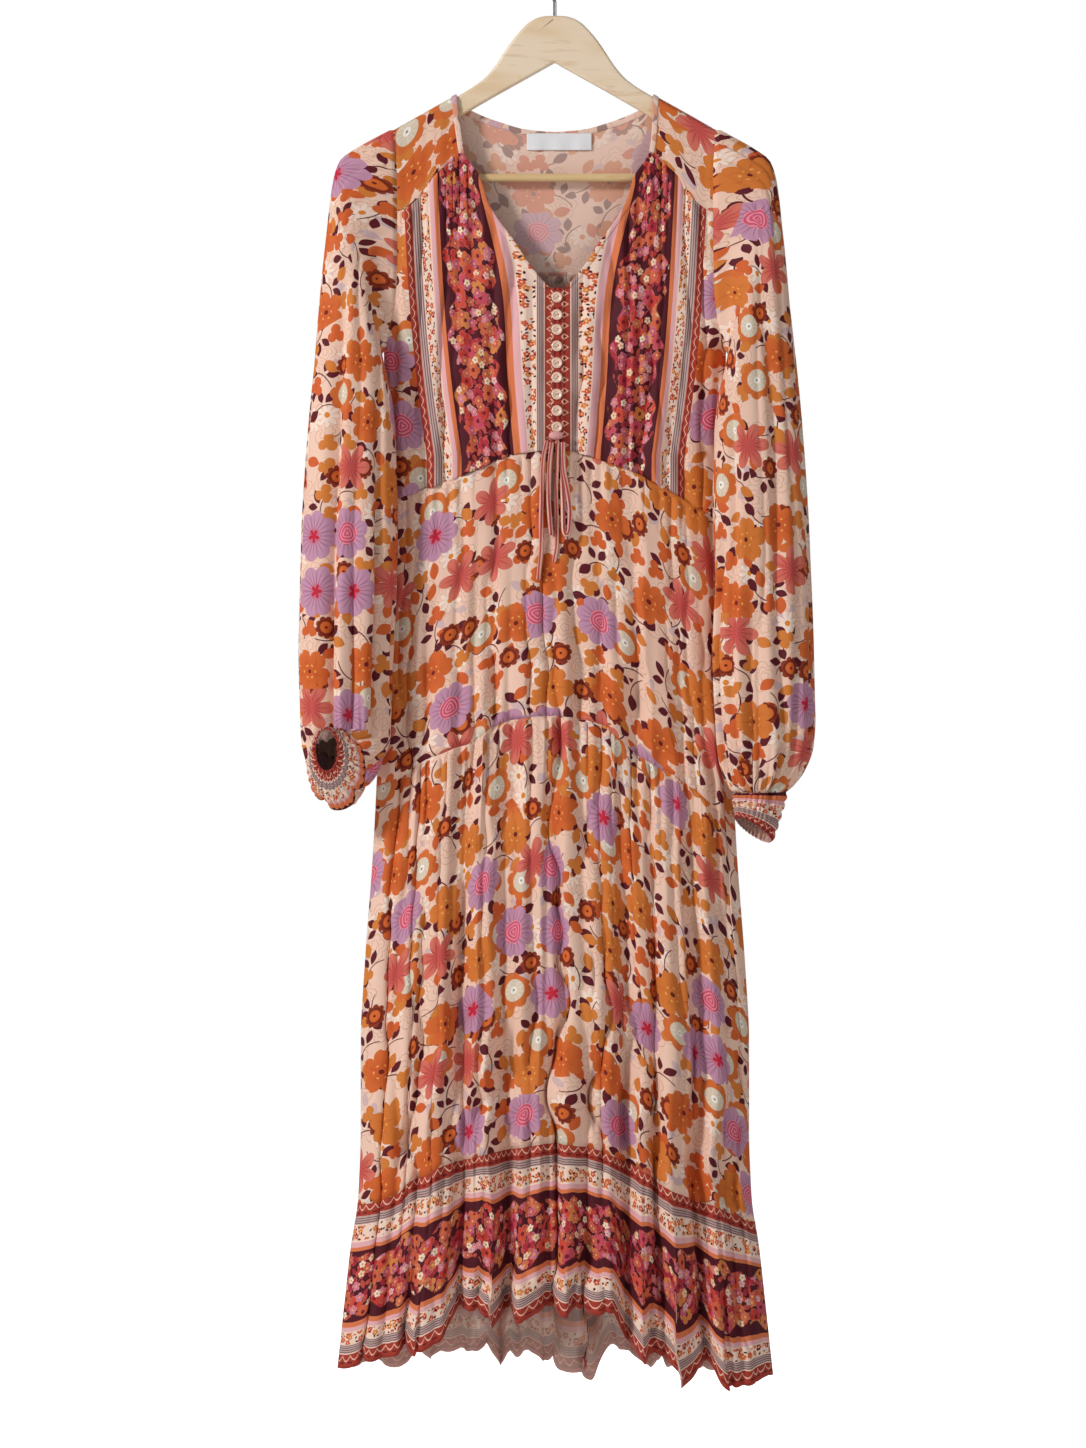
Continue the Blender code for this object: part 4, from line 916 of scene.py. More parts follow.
def shade(tree, values):
    """Feeds the Principled node of a material by the names of its inputs."""
    for name, value in values.items():
        feed(tree, tree.nodes["Principled BSDF"].inputs[name], value)


def bumped(tree, height, strength, distance):
    values = {"Height": height, "Strength": strength, "Distance": distance}
    return node(tree, "Bump", values).outputs["Normal"]


def cloth_material(name, pattern, wrong=0.0, shift=(0.0, 0.0), beyond=None):
    """Printed viscose: the pattern's colour, paler by wrong on its wrong side, and the weave.

    Another pattern may show beyond the upper edge of the first, where V is above zero.
    """
    made, tree = new_material(name)
    uv = node(tree, "UVMap", uv_map="cloth").outputs["UV"]
    moved = plane(tree, uv, *shift)
    shown = use(tree, pattern, moved)
    if beyond is not None:
        shown = mixed(tree, split(tree, uv)[1].above(0.0), shown, use(tree, beyond, moved))
    if wrong:
        shown = mixed(tree, wrong, shown, "EBCFC2")
    shade(tree, {
        "Base Color": shown, "Normal": bumped(tree, use(tree, weave, uv), 0.40, 0.0009),
        "Roughness": 0.66, "Specular IOR Level": 0.20,
        "Sheen Weight": 0.05, "Sheen Roughness": 0.45,
    })
    return made


def two_sides(name, pattern, paler, **rest):
    """Materials of the right and the wrong side of one printed cloth."""
    return [
        cloth_material(name, pattern, **rest),
        cloth_material(name + "_inside", pattern, wrong=paler, **rest),
    ]


def plain_material(name, code, roughness, metallic=0.0, coat=0.0):
    made, tree = new_material(name)
    shade(tree, {
        "Base Color": code, "Roughness": roughness, "Metallic": metallic, "Coat Weight": coat,
    })
    return made


def wood_material(name, light, dark, along):
    """Pale lacquered wood: long stretched noise for the grain, a finer one for the pores.

    A thin dark painted shadow of the hook runs down and to the left beside the hook's stem, on the
    front alone.
    """
    made, tree = new_material(name)
    where = node(tree, "TexCoord").outputs["Object"]
    moved = node(tree, "Mapping", {"Vector": where, "Scale": along}).outputs["Vector"]
    grain = noise(tree, moved, 9.0, 5.0)
    grain.inputs["Distortion"].default_value = 0.6
    pores = Number(tree, noise(tree, moved, 60.0, 3.0).outputs["Fac"])
    shown = mixed(tree, Number(tree, grain.outputs["Fac"]).fade(0.38, 0.66), light, dark)
    shown = mixed(tree, pores.fade(0.60, 0.72) * 0.35, shown, "C79A66")
    # Painted shadow of the hook: a thin dark streak in colour 8E5C3C on the front face of the wood
    x, y, z = split(tree, where)
    x, z = x - WOOD_HOOK_SHADOW_START[0], z - WOOD_HOOK_SHADOW_START[1]
    (along_x, along_z) = WOOD_HOOK_SHADOW_HEADING
    run = x * along_x + z * along_z
    hook_shadow = (x * along_z - z * along_x).abs().fade(0.0011, 0.0002) * run.fade(-0.0005, 0.0010)
    hook_shadow = hook_shadow * run.fade(WOOD_HOOK_SHADOW_LENGTH, 0.004) * y.below(0.0)
    shade(tree, {
        "Base Color": mixed(tree, hook_shadow * 0.8, shown, "8E5C3C"),
        "Normal": bumped(tree, pores, 0.15, 0.0004),
        "Roughness": 0.42, "Coat Weight": 0.15, "Coat Roughness": 0.25,
    })
    return made


THREADS = 9000
# Start, heading and length of the painted shadow of the hook on the wood
WOOD_HOOK_SHADOW_START = (-0.0018, -0.0662)
WOOD_HOOK_SHADOW_HEADING = (-0.777, -0.630)
WOOD_HOOK_SHADOW_LENGTH = 0.021
PRINT_SHIFTS = {
    "yoke": (0.11, 0.37), "back": (0.83, 0.21), "waist_front": (0.27, 0.55),
    "waist_back": (1.31, 0.44), "skirt_front": (0.71, 0.93), "skirt_back": (1.93, 0.12),
    "sleeve_left": (2.41, 0.66), "sleeve_right": (3.07, 0.31),
}
floral = floral_group()
border = border_group()
weave = weave_group()
prints = {
    key: two_sides(f"print_{key}", floral, 0.45, shift=shift)
    for key, shift in PRINT_SHIFTS.items()
}
border_print = two_sides("border_print", border, 0.50)
bodice_print = two_sides("bodice_print", border, 0.50, beyond=floral)
binding_print = cloth_material("binding_print", floral, wrong=0.35, shift=(0.45, 1.9))


def declare(obj, points):
    """Measures the flat cut of a cloth piece along its own surface; the result is not kept."""
    flat, area = cut_of(points)


def tier(
    name, face, seams, folds, hem, waves, top, bottom, rows, columns, look, seed, carry
):
    """One tier of the body between two seams: body form, less long folds, plus gathers.

    The folds at the foot of the tier above carry on into it and fade, and its upper edge is tucked
    under that tier.
    """
    across, share = np.meshgrid(spread(columns), rows)
    high = seam(seams, top, across) - SEAM_GAP
    half_at_seam = half_width(high[:1])
    if bottom == "hem":
        low = read(hem, "across", "height", across)
        low = low + HEM_LIFT * fold_push(folds, across, low)
    else:
        low = seam(seams, bottom, across)
    out, lean = gathers(
        across * half_at_seam, (high - low) * share, np.max(high - low), waves, seed
    )
    if carry is not None:
        fade = np.exp(-(high - low) * share / CARRY_FADE)
        out = out + fade * np.interp(across[0], carry[0], carry[1])
        lean = lean + fade * np.interp(across[0], carry[0], carry[2])
    if bottom == "hem":
        low = low - HEM_WAVE * out[-1:] * belly_of(across[:1])
    height = high + (low - high) * share
    half = half_width(height)
    x = half * across
    y = body_y(x, height, face)
    belly = np.clip(FOLD_BELLY * belly_of(across), 0, 1)
    if bottom == "hip":
        push = waist_push(across * -face, height)
    else:
        push = fold_push(folds, across, height)
    if carry is not None:
        push = push + fade * (np.interp(across[0], carry[0], carry[3]) - push[:1])
    y = side_seam(y + face * belly * (out - push), face)
    points = np.stack([x + belly * lean, y, height], -1)
    tuck = points[:1] + np.stack(
        [0 * y[:1], -face * SEAM_TUCK * belly[:1], 0 * y[:1] + SEAM_OVERLAP], -1
    )
    points = np.concatenate([tuck, points])
    if face > 0:
        points = points[:, ::-1]
    kind = name.split("_")[0]
    solid = f"{kind}_{'front' if face < 0 else 'back'}"
    slot = "border_cloth" if kind == "ruffle" else "print_cloth"
    obj = piece(name, grid_mesh(name, points, flat_map(points)), look, [solid])
    declare(thicken(obj), points)
    return across[0], out[-1], lean[-1], push[-1]


for face, where, seams, folds, hem in (
    (-1, "front", FRONT_SEAMS, FRONT_FOLDS, FRONT_HEM),
    (1, "back", BACK_SEAMS, BACK_FOLDS, BACK_HEM),
):
    key = 10 * (face + 2)
    carried = None
    upper = ["bodice_front_left", "bodice_front_right"] if face < 0 else ["bodice_back"]
    for kind, waves, top, bottom, rows, columns in (
        ("waist", EMPIRE_WAVES, "empire", "hip", shares(56, 1.3), 250),
        ("skirt", HIP_WAVES, "hip", "ruffle", shares(74, 1.35), 340),
        ("ruffle", RUFFLE_WAVES, "ruffle", "hem", shares(46, 1.3), 340),
    ):
        key += 1
        look = border_print if kind == "ruffle" else prints[f"{kind}_{where}"]
        carried = tier(
            f"{kind}_{where}_cloth", face, seams, folds, hem, waves, top, bottom, rows, columns,
            look, key, carried,
        )
        upper = [f"{kind}_{where}"]


def outer_edge(height):
    """Half width of a front panel: yoke seam, then armhole, then side seam."""
    arm = half_width(height) - SEAM_GAP
    on_yoke = np.interp(height, YOKE_SEAM["height"][::-1], YOKE_SEAM["across"][::-1])
    return np.where(height > YOKE_SEAM["height"][-1] - 0.0001, on_yoke, arm)


BODICE_WAVES = (
    (0.0095, 0.0042, 0.055, 0.0), (0.024, 0.0052, 0.170, 0.0020), (0.052, 0.0, 0.1, 0.0065),
)
BACK_WAVES = ((0.0105, 0.0032, 0.050, 0.0), (0.029, 0.0030, 0.16, 0.0030))
# Half distance of the inner orange stripe and of the dark band's outer edge, at each height
STRIPE_LEAN = table(
    "height inner outer",
    (-0.248, 0.084, 0.134), (-0.378, 0.057, 0.127), (-0.467, 0.052, 0.119), (-0.550, 0.045, 0.108),
)


def stripe_place(half, height):
    """Distance down the border print at a half distance from the centre front.

    Straight between knots that lean with the inner stripe and the outer edge of the dark band;
    beyond the last stripe it is negative, where the floral shows.
    """
    inner = read(STRIPE_LEAN, "height", "inner", height)
    outer = read(STRIPE_LEAN, "height", "outer", height)
    knots = (
        0.0, 0.0150, 0.0225, inner - 0.013, inner - 0.004, inner + 0.003, outer - 0.003,
        outer + 0.002, outer + 0.007, outer + 0.018, outer + 0.026, outer + 0.034, outer + 0.080,
    )
    down = (
        0.1870, 0.1737, 0.1640, 0.1480, 0.1425, 0.1370, 0.0560, 0.0515, 0.0455, 0.0250, 0.0165,
        0.0, -0.046,
    )
    total = down[0] + 0 * half
    for k in range(len(knots) - 1):
        share = np.clip((half - knots[k]) / (knots[k + 1] - knots[k]), 0, 1)
        total = total + (down[k + 1] - down[k]) * share
    return total


def stripe_map(x, height):
    """UV of the striped front: along the height, and down the print from the centre front."""
    half = np.abs(x - neck_shift(np.abs(x), height))
    return np.stack([height + 0.13 * np.sign(x), -stripe_place(half, height)], -1)


def front_bodice(name, side, seed):
    """Front panel of one side, from the centre front (0) to the side (1), gathered at the yoke."""
    along = shares(110)
    lowest = seam(FRONT_SEAMS, "empire", np.zeros(1))[0]
    edge = half_width(lowest)
    low = seam(FRONT_SEAMS, "empire", side * along + neck_shift(along * edge, lowest) / edge)
    knots = np.arange(len(FRONT_ROWS["centre"]))
    fine = np.linspace(0, knots[-1], 70)
    centre = np.interp(fine, knots, FRONT_ROWS["centre"])[:, None]
    outer = np.interp(fine, knots, FRONT_ROWS["side"])[:, None]
    height = centre + (outer - centre) * along
    last = height[-1:]
    height = np.concatenate([height, last + (low - last) * shares(30)[1:, None]])
    neck = read(NECK_FRONT, "height", "half_width", height[:, :1]) + UNDER_BINDING
    inner = np.where(height[:, :1] < PLACKET_TOP, PLACKET_HALF - 0.002, neck)
    half = inner + (outer_edge(height[:, -1:]) - inner) * along
    y = body_y(half, height, -1)
    top = np.interp(half, YOKE_SEAM["across"], YOKE_SEAM["height"])
    below = np.clip(top - height, 0, None)
    out, lean = gathers(half, below, 0.34, BODICE_WAVES, seed)
    calm = ease((half - inner) / 0.02) * ease((1 - along) / 0.08)
    y = y - calm * out
    x = side * (half + calm * lean) + neck_shift(half, height)
    points = np.stack([x, side_seam(y, -1), height], -1)
    uv = stripe_map(x, height)
    if side < 0:
        points, uv = points[:, ::-1], uv[:, ::-1]
    mesh = grid_mesh(name, points, uv)
    obj = piece(name + "_cloth", mesh, bodice_print, [name])
    declare(thicken(obj), points)


def back_yoke_seam(across):
    return BACK_YOKE_CENTRE + BACK_YOKE_RISE * across**2


def back_bodice():
    """Back panel, gathered under the yoke seam."""
    across, share = np.meshgrid(spread(250), shares(52, 1.2))
    high = back_yoke_seam(across) - SEAM_GAP
    low = seam(BACK_SEAMS, "empire", across)
    height = high + (low - high) * share
    half = half_width(height) - SEAM_GAP * (height > UNDERARM)
    x = half * across
    out, lean = gathers(x, high - height, 0.25, BACK_WAVES, 51)
    calm = ease((0.85 - np.abs(across)) / 0.15)
    y = side_seam(body_y(x, height, 1) + calm * out, 1)
    points = np.stack([x + calm * lean, y, height], -1)[:, ::-1]
    points = np.concatenate([points[:1] + (0, -SEAM_TUCK, SEAM_OVERLAP), points])
    mesh = grid_mesh("bodice_back", points, flat_map(points))
    obj = piece("bodice_back_cloth", mesh, prints["back"], ["bodice_back"])
    declare(thicken(obj), points)


front_bodice("bodice_front_left", -1, 61)
front_bodice("bodice_front_right", 1, 67)
back_bodice()


def neck_back_height(share):
    return read(NECK_BACK, "across", "height", np.abs(share) * RIDGE_START)


def back_neck_edge(share):
    return neck_back_height(share) - UNDER_BINDING + BINDING_RISE * np.abs(share) ** 8


def yoke():
    """One piece: across the back, over both shoulders and down to the front yoke seams."""
    count, middle = 40, 90
    place = shares(count)
    seam_height = np.interp(place, YOKE_SEAM_SHARE, YOKE_SEAM["height"])
    start = RIDGE_START + UNDER_BINDING
    arm = BODY["half_width"][0] - SEAM_GAP
    strap = start + (arm - start) * place
    centre = np.sin(0.5 * math.pi * np.linspace(-1, 1, middle + 2)[1:-1])
    rows = []
    for share in np.linspace(1, 0.012, 44) ** YOKE_ROW_POWER:
        height = ridge(strap) + (seam_height - ridge(strap)) * share
        neck = read(NECK_FRONT, "height", "half_width", height[0]) + UNDER_BINDING
        half = neck + (half_width(height) - SEAM_GAP - neck) * place
        calm = ease(share * 3) * ease((1 - place) / 0.1)
        y = body_y(half, height, -1) + 0.0006 * wander(half, 3, 0.05) * calm
        shift = neck_shift(half, height)
        right = np.stack([half + shift, y, height], -1)
        left = np.stack([-half + shift, y, height], -1)[::-1]
        rows.append(np.concatenate([left, np.zeros((middle, 3)), right]))
    front_count = len(rows)
    side = np.concatenate([-np.ones(count), np.sign(centre), np.ones(count)])
    on_strap = np.concatenate([np.ones(count), 0 * centre, np.ones(count)]) > 0
    first = np.concatenate([strap[::-1], start * np.abs(centre), strap])
    full = np.concatenate([place[::-1], 0 * centre, place])
    top = np.where(on_strap, ridge(first), back_neck_edge(first / start))
    low = back_yoke_seam(first / arm)
    for share in np.linspace(0, 1, 52) ** YOKE_ROW_POWER:
        height = top + (low - top) * share
        edge = half_width(height) - SEAM_GAP
        half = np.where(on_strap, start + (edge - start) * full, first)
        y = body_y(half, height, 1) + 0.0005 * wander(side * half, 5, 0.09) * ease(share * 2)
        rows.append(np.stack([side * half, y, height], -1))
    points = np.array(rows)
    keep = np.ones(points.shape[:2], bool)
    keep[:front_count] = on_strap
    down = distances(points[:, -count // 2])[:, None]
    uv = np.stack(np.broadcast_arrays(points[:, :, 0], -down), -1)
    points, uv, keep = points[:, ::-1], uv[:, ::-1], keep[:, ::-1]
    mesh = grid_mesh("yoke", points, uv, keep)
    obj = piece("yoke_cloth", mesh, prints["yoke"], ["yoke"])
    wide = float(run_along(points[front_count:], 1)[:, -1].max())
    long = float(run_along(points, 0)[-1][on_strap].max())
    flat, area = (round(wide, 3), round(long, 3)), cut_of(points, keep)[1]
    thicken(obj)


yoke()


def sides_of(route):
    """Two side directions at each point of a route, carried along it without twist."""
    ahead = np.gradient(route, axis=0)
    ahead /= np.linalg.norm(ahead, axis=1, keepdims=True)
    side = np.zeros_like(route)
    start = (0.0, 1.0, 0.0) if abs(ahead[0, 1]) < 0.9 else (1.0, 0.0, 0.0)
    carried = np.cross(start, ahead[0])
    for k, along in enumerate(ahead):
        carried = carried - along * (carried @ along)
        carried = carried / np.linalg.norm(carried)
        side[k] = carried
    return side, np.cross(ahead, side)


def sweep(name, route, radius, columns, materials, nodes=(), round_ends=False):
    """A round tube along a route, closed by flat or rounded ends; V runs down its length."""
    route = np.asarray(route, float)
    side, other = sides_of(route)
    turn = 2 * math.pi * np.arange(columns) / columns
    ring = np.cos(turn)[:, None] * side[:, None] + np.sin(turn)[:, None] * other[:, None]
    size = np.full(len(route), radius)
    centre = route.copy()
    if round_ends:
        step = np.radians([0.5, 20, 42, 64, 82])
        ahead = route[1] - route[0]
        behind = route[-1] - route[-2]
        ahead, behind = ahead / np.linalg.norm(ahead), behind / np.linalg.norm(behind)
        front = route[0] - ahead * radius * np.cos(step)[:, None]
        back = route[-1] + behind * radius * np.cos(step)[::-1, None]
        centre = np.concatenate([front, centre, back])
        size = np.concatenate([radius * np.sin(step), size, radius * np.sin(step)[::-1]])
        ring = np.concatenate([np.repeat(ring[:1], 5, 0), ring, np.repeat(ring[-1:], 5, 0)])
    points = centre[:, None] + size[:, None, None] * ring
    points = np.concatenate([
        np.repeat(centre[:1, None], columns, 1), points, np.repeat(centre[-1:, None], columns, 1),
    ])
    return piece(name, tube_mesh(name, points, radius), materials, nodes)


def tube_mesh(name, points, radius):
    """Mesh of a closed tube, with U round it and V down its length, in metres."""
    columns = points.shape[1]
    down = run_along(points, 0).mean(axis=1)
    around = 2 * math.pi * radius * np.arange(columns + 1) / columns
    uv = np.stack(np.broadcast_arrays(around[None, :], -down[:, None]), -1)
    return weld(grid_mesh(name, points, uv, ring=True))


def weld(mesh):
    """Merges the points that fall together, such as a cap's middle, and faces it outwards."""
    work = bmesh.new()
    work.from_mesh(mesh)
    bmesh.ops.remove_doubles(work, verts=work.verts, dist=0.000001)
    bmesh.ops.recalc_face_normals(work, faces=work.faces)
    work.to_mesh(mesh)
    work.free()
    return mesh


# Sleeve tubes: rows, columns and metres round; and how many gathers, how high, how far they reach
SLEEVE_COLUMNS, SLEEVE_ROWS, CUFF_ROWS = 210, 106, 36
SLEEVE_ROUND = 0.30
AROUND = 2 * math.pi * np.arange(SLEEVE_COLUMNS) / SLEEVE_COLUMNS
TURN = np.arange(SLEEVE_COLUMNS)[None] / SLEEVE_COLUMNS
HEAD_COUNT, HEAD_HEIGHT, HEAD_FADE, HEAD_WIDTH = 30, 0.0038, 0.065, 0.20
FRILL_COUNT, FRILL_HEIGHT, FRILL_FADE = 26, 0.0034, 0.070
PUFF_COUNT, PUFF_HEIGHT = 5, 0.0010
# Distance down the border print at the cuff's seam, and how much of the print it shows
CUFF_PRINT_TOP, CUFF_PRINT_SHOWN = 0.1330, BORDER_WIDTH - 0.1335


def ring_points(rings, side):
    """Rings as (rings, columns, 3): half the crown-to-underarm line by the cosine of the turn,
    plus the front reach by its sine."""
    crown = np.stack([rings["crown_x"], rings["crown_y"], rings["crown_z"]], -1)[:, None]
    under = np.stack([rings["under_x"], rings["under_y"], rings["under_z"]], -1)[:, None]
    front = np.stack([0 * rings["reach"], -rings["reach"], rings["lift"]], -1)[:, None]
    power = rings["square"][:, None]
    deep = (np.sign(np.sin(AROUND)) * np.abs(np.sin(AROUND)) ** power)[:, :, None]
    points = 0.5 * (crown + under) + 0.5 * (crown - under) * np.cos(AROUND)[None, :, None]
    return (points + front * deep) * (side, 1, 1)


def armhole_ring(side):
    """The armhole's edge on the body form, as the sleeve's first ring."""
    top = ridge(BODY["half_width"][0])
    height = 0.5 * (top + UNDERARM) + 0.5 * (top - UNDERARM) * np.cos(AROUND)
    x = half_width(height) - ARMHOLE_TUCK
    y = np.where(np.sin(AROUND) >= 0, body_y(x, height, -1), body_y(x, height, 1))
    return np.stack([side * x, y, height], -1)[None]


def smooth_rings(coarse, rows):
    """Rings evenly spaced on smooth curves through the coarse ones, and how far down each is."""
    steps = np.linalg.norm(np.diff(coarse, axis=0), axis=2).mean(axis=1)
    run = np.concatenate([[0], np.cumsum(steps)])
    down = np.linspace(0, run[-1], rows)
    return blend(down, run, coarse), down[:, None]


def flutes(place, power, uneven, metres, seed, length):
    """Rounded ridges between narrow grooves, from -1 to 1, one for each whole place."""
    phase = math.pi * (place + uneven * wander(metres, seed, length))
    return 2 * np.abs(np.sin(phase)) ** power - 1


def outwards_of(points):
    away = points - points.mean(axis=1, keepdims=True)
    return away / np.linalg.norm(away, axis=2, keepdims=True)


def cloth_tube(name, side, points, uv_of, look, nodes):
    """A tube of cloth from its rings, cut open at the underarm for its UV and its flat size."""
    opened = np.roll(points, SLEEVE_COLUMNS // 2, axis=1)
    closed = np.concatenate([opened, opened[:, :1]], axis=1)
    uv = uv_of(closed)
    if side > 0:
        opened, uv = opened[:, ::-1], uv[:, ::-1]
    obj = piece(name + "_cloth", grid_mesh(name, opened, uv, ring=True), look, nodes)
    declare(thicken(obj), closed)


def sleeve(name, side, end_rings, seed, nodes):
    """Sleeve tube: smooth rings less long folds, plus gathers at both ends; gives its last ring."""
    rings = {key: np.concatenate([CAP_RINGS[key], end_rings[key]]) for key in CAP_RINGS}
    coarse = np.concatenate([armhole_ring(side), ring_points(rings, side)])
    points, down = smooth_rings(coarse, SLEEVE_ROWS)
    up = down[-1] - down
    share = down / down[-1]
    push = sum(
        1.5 * depth * pulse(TURN, middle + 0.012 * np.sin(9 * share + seed), 0.7 * width)
        for middle, depth, width in zip(*SLEEVE_FOLDS.values())
    ) * ease(share / SLEEVE_FOLD_FULL)
    metres = SLEEVE_ROUND * np.abs(1 - 2 * TURN) + 0.05 * np.sin(2 * math.pi * TURN)
    head = np.maximum(pulse(TURN, 0.0, HEAD_WIDTH), pulse(TURN, 1.0, HEAD_WIDTH))
    wave = flutes(TURN * HEAD_COUNT, 0.8, 0.3, metres, seed, 0.09)
    out = HEAD_HEIGHT * wave * head * np.exp(-down / HEAD_FADE) * ease(down / 0.006)
    frill = flutes(TURN * FRILL_COUNT, 0.8, 0.35, metres, seed + 2, 0.11)
    reach = FRILL_FADE * (1 + 0.5 * wander(metres, seed + 4, 0.05))
    out = out + FRILL_HEIGHT * frill * np.exp(-up / reach) * ease(up / 0.005)
    drift = 0.25 * np.sin(4.1 * share + seed) + 0.10 * np.sin(11 * share + WHOLE_TURN * TURN)
    folds = flutes(TURN * 8 + drift, 0.75, 0.4, metres, seed + 6, 0.23)
    swell = (0.0018 + 0.0042 * ease(share * 1.2)) * ease(share * 6) * ease(up / 0.05)
    out = out + swell * folds * (0.7 + 0.3 * np.sin(7 * share + WHOLE_TURN * TURN))
    points = points + outwards_of(points) * (out - push)[:, :, None]
    cloth_tube(name, side, points, sleeve_map, prints[name], nodes)
    return points[-1]


def cuff(name, side, rings, sleeve_end):
    """Shirred cuff: from the sleeve's last ring, puffed between rows of elastic thread.

    The stripes of its print run round it, from the sleeve seam to the wrist edge.
    """
    coarse = np.concatenate([sleeve_end[None], ring_points(rings, side)])
    points, down = smooth_rings(coarse, CUFF_ROWS)
    share = down / down[-1]
    tent = np.abs(1 - 2 * TURN) + 0.2 * np.sin(2 * math.pi * TURN)
    frill = flutes(TURN * HEAD_COUNT, 0.9, 0.3, tent, 81, 0.37)
    puffs = np.abs(np.sin(math.pi * share * PUFF_COUNT))
    out = (0.0009 + 0.0012 * puffs) * frill + PUFF_HEIGHT * puffs
    points = points + outwards_of(points) * (out * ease(share * 8))[:, :, None]

    def striped(closed):
        across = run_along(closed, 1).mean(axis=0)[None]
        printed = CUFF_PRINT_TOP + CUFF_PRINT_SHOWN * share
        return np.stack(np.broadcast_arrays(across, -printed), -1)

    cloth_tube(name, side, points, striped, border_print, [name])


left_end = sleeve(
    "sleeve_left", -1, LEFT_END_RINGS, 71, ["sleeve_left_upper", "sleeve_left_lower"]
)
right_end = sleeve("sleeve_right", 1, RIGHT_END_RINGS, 77, ["sleeve_right"])
cuff("cuff_left", -1, LEFT_CUFF_RINGS, left_end)
cuff("cuff_right", 1, RIGHT_CUFF_RINGS, right_end)

# Neck binding, placket, label and buttons
BINDING_WALL = 0.0022
LABEL_WALL = 0.0006
PLACKET_WALL = 0.0016
RISING_ROWS = 120
STRIP_COLUMNS = 20


def binding_edges():
    """Inner and outer edge of the binding, from the foot of the V up one side and to the back."""
    rising = np.linspace(NECK_FRONT["height"][-1], ridge(RIDGE_START + BINDING_WIDTH), RISING_ROWS)
    wide = read(NECK_FRONT, "height", "half_width", rising)
    slant = ease((rising + 0.190) / 0.030)
    high = np.minimum(rising + RIDGE_SLOPE * BINDING_WIDTH * slant, RIDGE_HEIGHT)
    inner = np.stack([wide, body_y(wide, high, -1), high], -1)
    over = wide + BINDING_WIDTH
    outer = np.stack([over, body_y(over, rising, -1), rising], -1)
    share = np.cos(0.5 * math.pi * np.linspace(0, 1, 90))[1:]
    x, over = RIDGE_START * share, (RIDGE_START + BINDING_WIDTH) * share
    high = neck_back_height(share)
    low = high - BINDING_WIDTH + BINDING_RISE * share**8
    inner_back = np.stack([x, body_y(x, high, 1), high], -1)
    outer_back = np.stack([over, body_y(over, low, 1), low], -1)
    return np.concatenate([inner, inner_back]), np.concatenate([outer, outer_back])


def strip(name, inner, outer, wall, look, slot, solid, upper, uv_of=None):
    """A narrow band between two edges, with rounded sides and closed ends; its flat size is worked
    out but not kept.
    """
    centre, across = 0.5 * (inner + outer), 0.52 * (outer - inner)
    normal = np.cross(np.gradient(centre, axis=0), across)
    normal /= np.linalg.norm(normal, axis=1, keepdims=True)
    turn = 2 * math.pi * np.arange(STRIP_COLUMNS) / STRIP_COLUMNS
    c = np.sign(np.cos(turn)) * np.abs(np.cos(turn)) ** 0.6
    s = np.sign(np.sin(turn)) * np.abs(np.sin(turn)) ** 0.8
    points = (
        centre[:, None] + c[None, :, None] * across[:, None]
        + 0.5 * wall * s[None, :, None] * normal[:, None]
    )
    ends = [np.repeat(centre[k][None, None], STRIP_COLUMNS, 1) for k in (0, -1)]
    points = np.concatenate([ends[0], points, ends[1]])
    if uv_of is None:
        mesh = tube_mesh(name, points, 0.0026)
    else:
        closed = np.concatenate([points, points[:, :1]], axis=1)
        mesh = weld(grid_mesh(name, points, uv_of(closed[:, :, 0], closed[:, :, 2]), ring=True))
    obj = piece(name, mesh, look, [solid])
    length = float(distances(centre)[-1])
    width = float(np.median(np.linalg.norm(outer - inner, axis=1))) + 0.8 * wall
    round(width * length, 6)


def neck_binding():
    """The strip round the neck: striped up both sides of the V, plain behind and on the straps."""
    inner, outer = binding_edges()
    split_at = int(np.argmin(np.abs(inner[:RISING_ROWS, 2] - YOKE_SEAM["height"][0])))
    edges = []
    for edge in (inner, outer):
        whole = np.concatenate([edge[split_at:], (edge * (-1, 1, 1))[split_at:-1][::-1]])
        whole[:, 0] += neck_shift(np.abs(whole[:, 0]), whole[:, 2]) * (whole[:, 1] < 0)
        edges.append(whole)
    strip("binding_top", *edges, BINDING_WALL, [binding_print], "binding_cloth", "neck_binding",
          ["yoke"])
    for label, side in (("left", -1), ("right", 1)):
        edges = []
        for edge in (inner, outer):
            low = edge[: split_at + 1] * (side, 1, 1)
            low[:, 0] += neck_shift(np.abs(low[:, 0]), low[:, 2])
            edges.append(low)
        strip(f"binding_{label}", *edges, BINDING_WALL, bodice_print[:1], "binding_cloth",
              "neck_binding", [f"bodice_front_{label}"], stripe_map)


def placket():
    """The buttoned strip down the middle of the bodice."""
    low = seam(FRONT_SEAMS, "empire", np.zeros(1))[0]
    height = np.linspace(PLACKET_TOP + 0.0015, low - 0.0012, 90)
    edges = []
    for side in (-1, 1):
        x = NECK_CENTRE + side * PLACKET_HALF + 0 * height
        edges.append(np.stack([x, body_y(x, height, -1) - PLACKET_RAISE, height], -1))

    def dotted(x, height):
        half = np.abs(x - NECK_CENTRE)
        return np.stack([height + 0.4, -(BORDER_WIDTH - half * 0.0133 / 0.015)], -1)

    strip("placket_cloth", *edges, PLACKET_WALL, border_print[:1], "border_cloth", "placket",
          ["bodice_front_left", "bodice_front_right"], dotted)


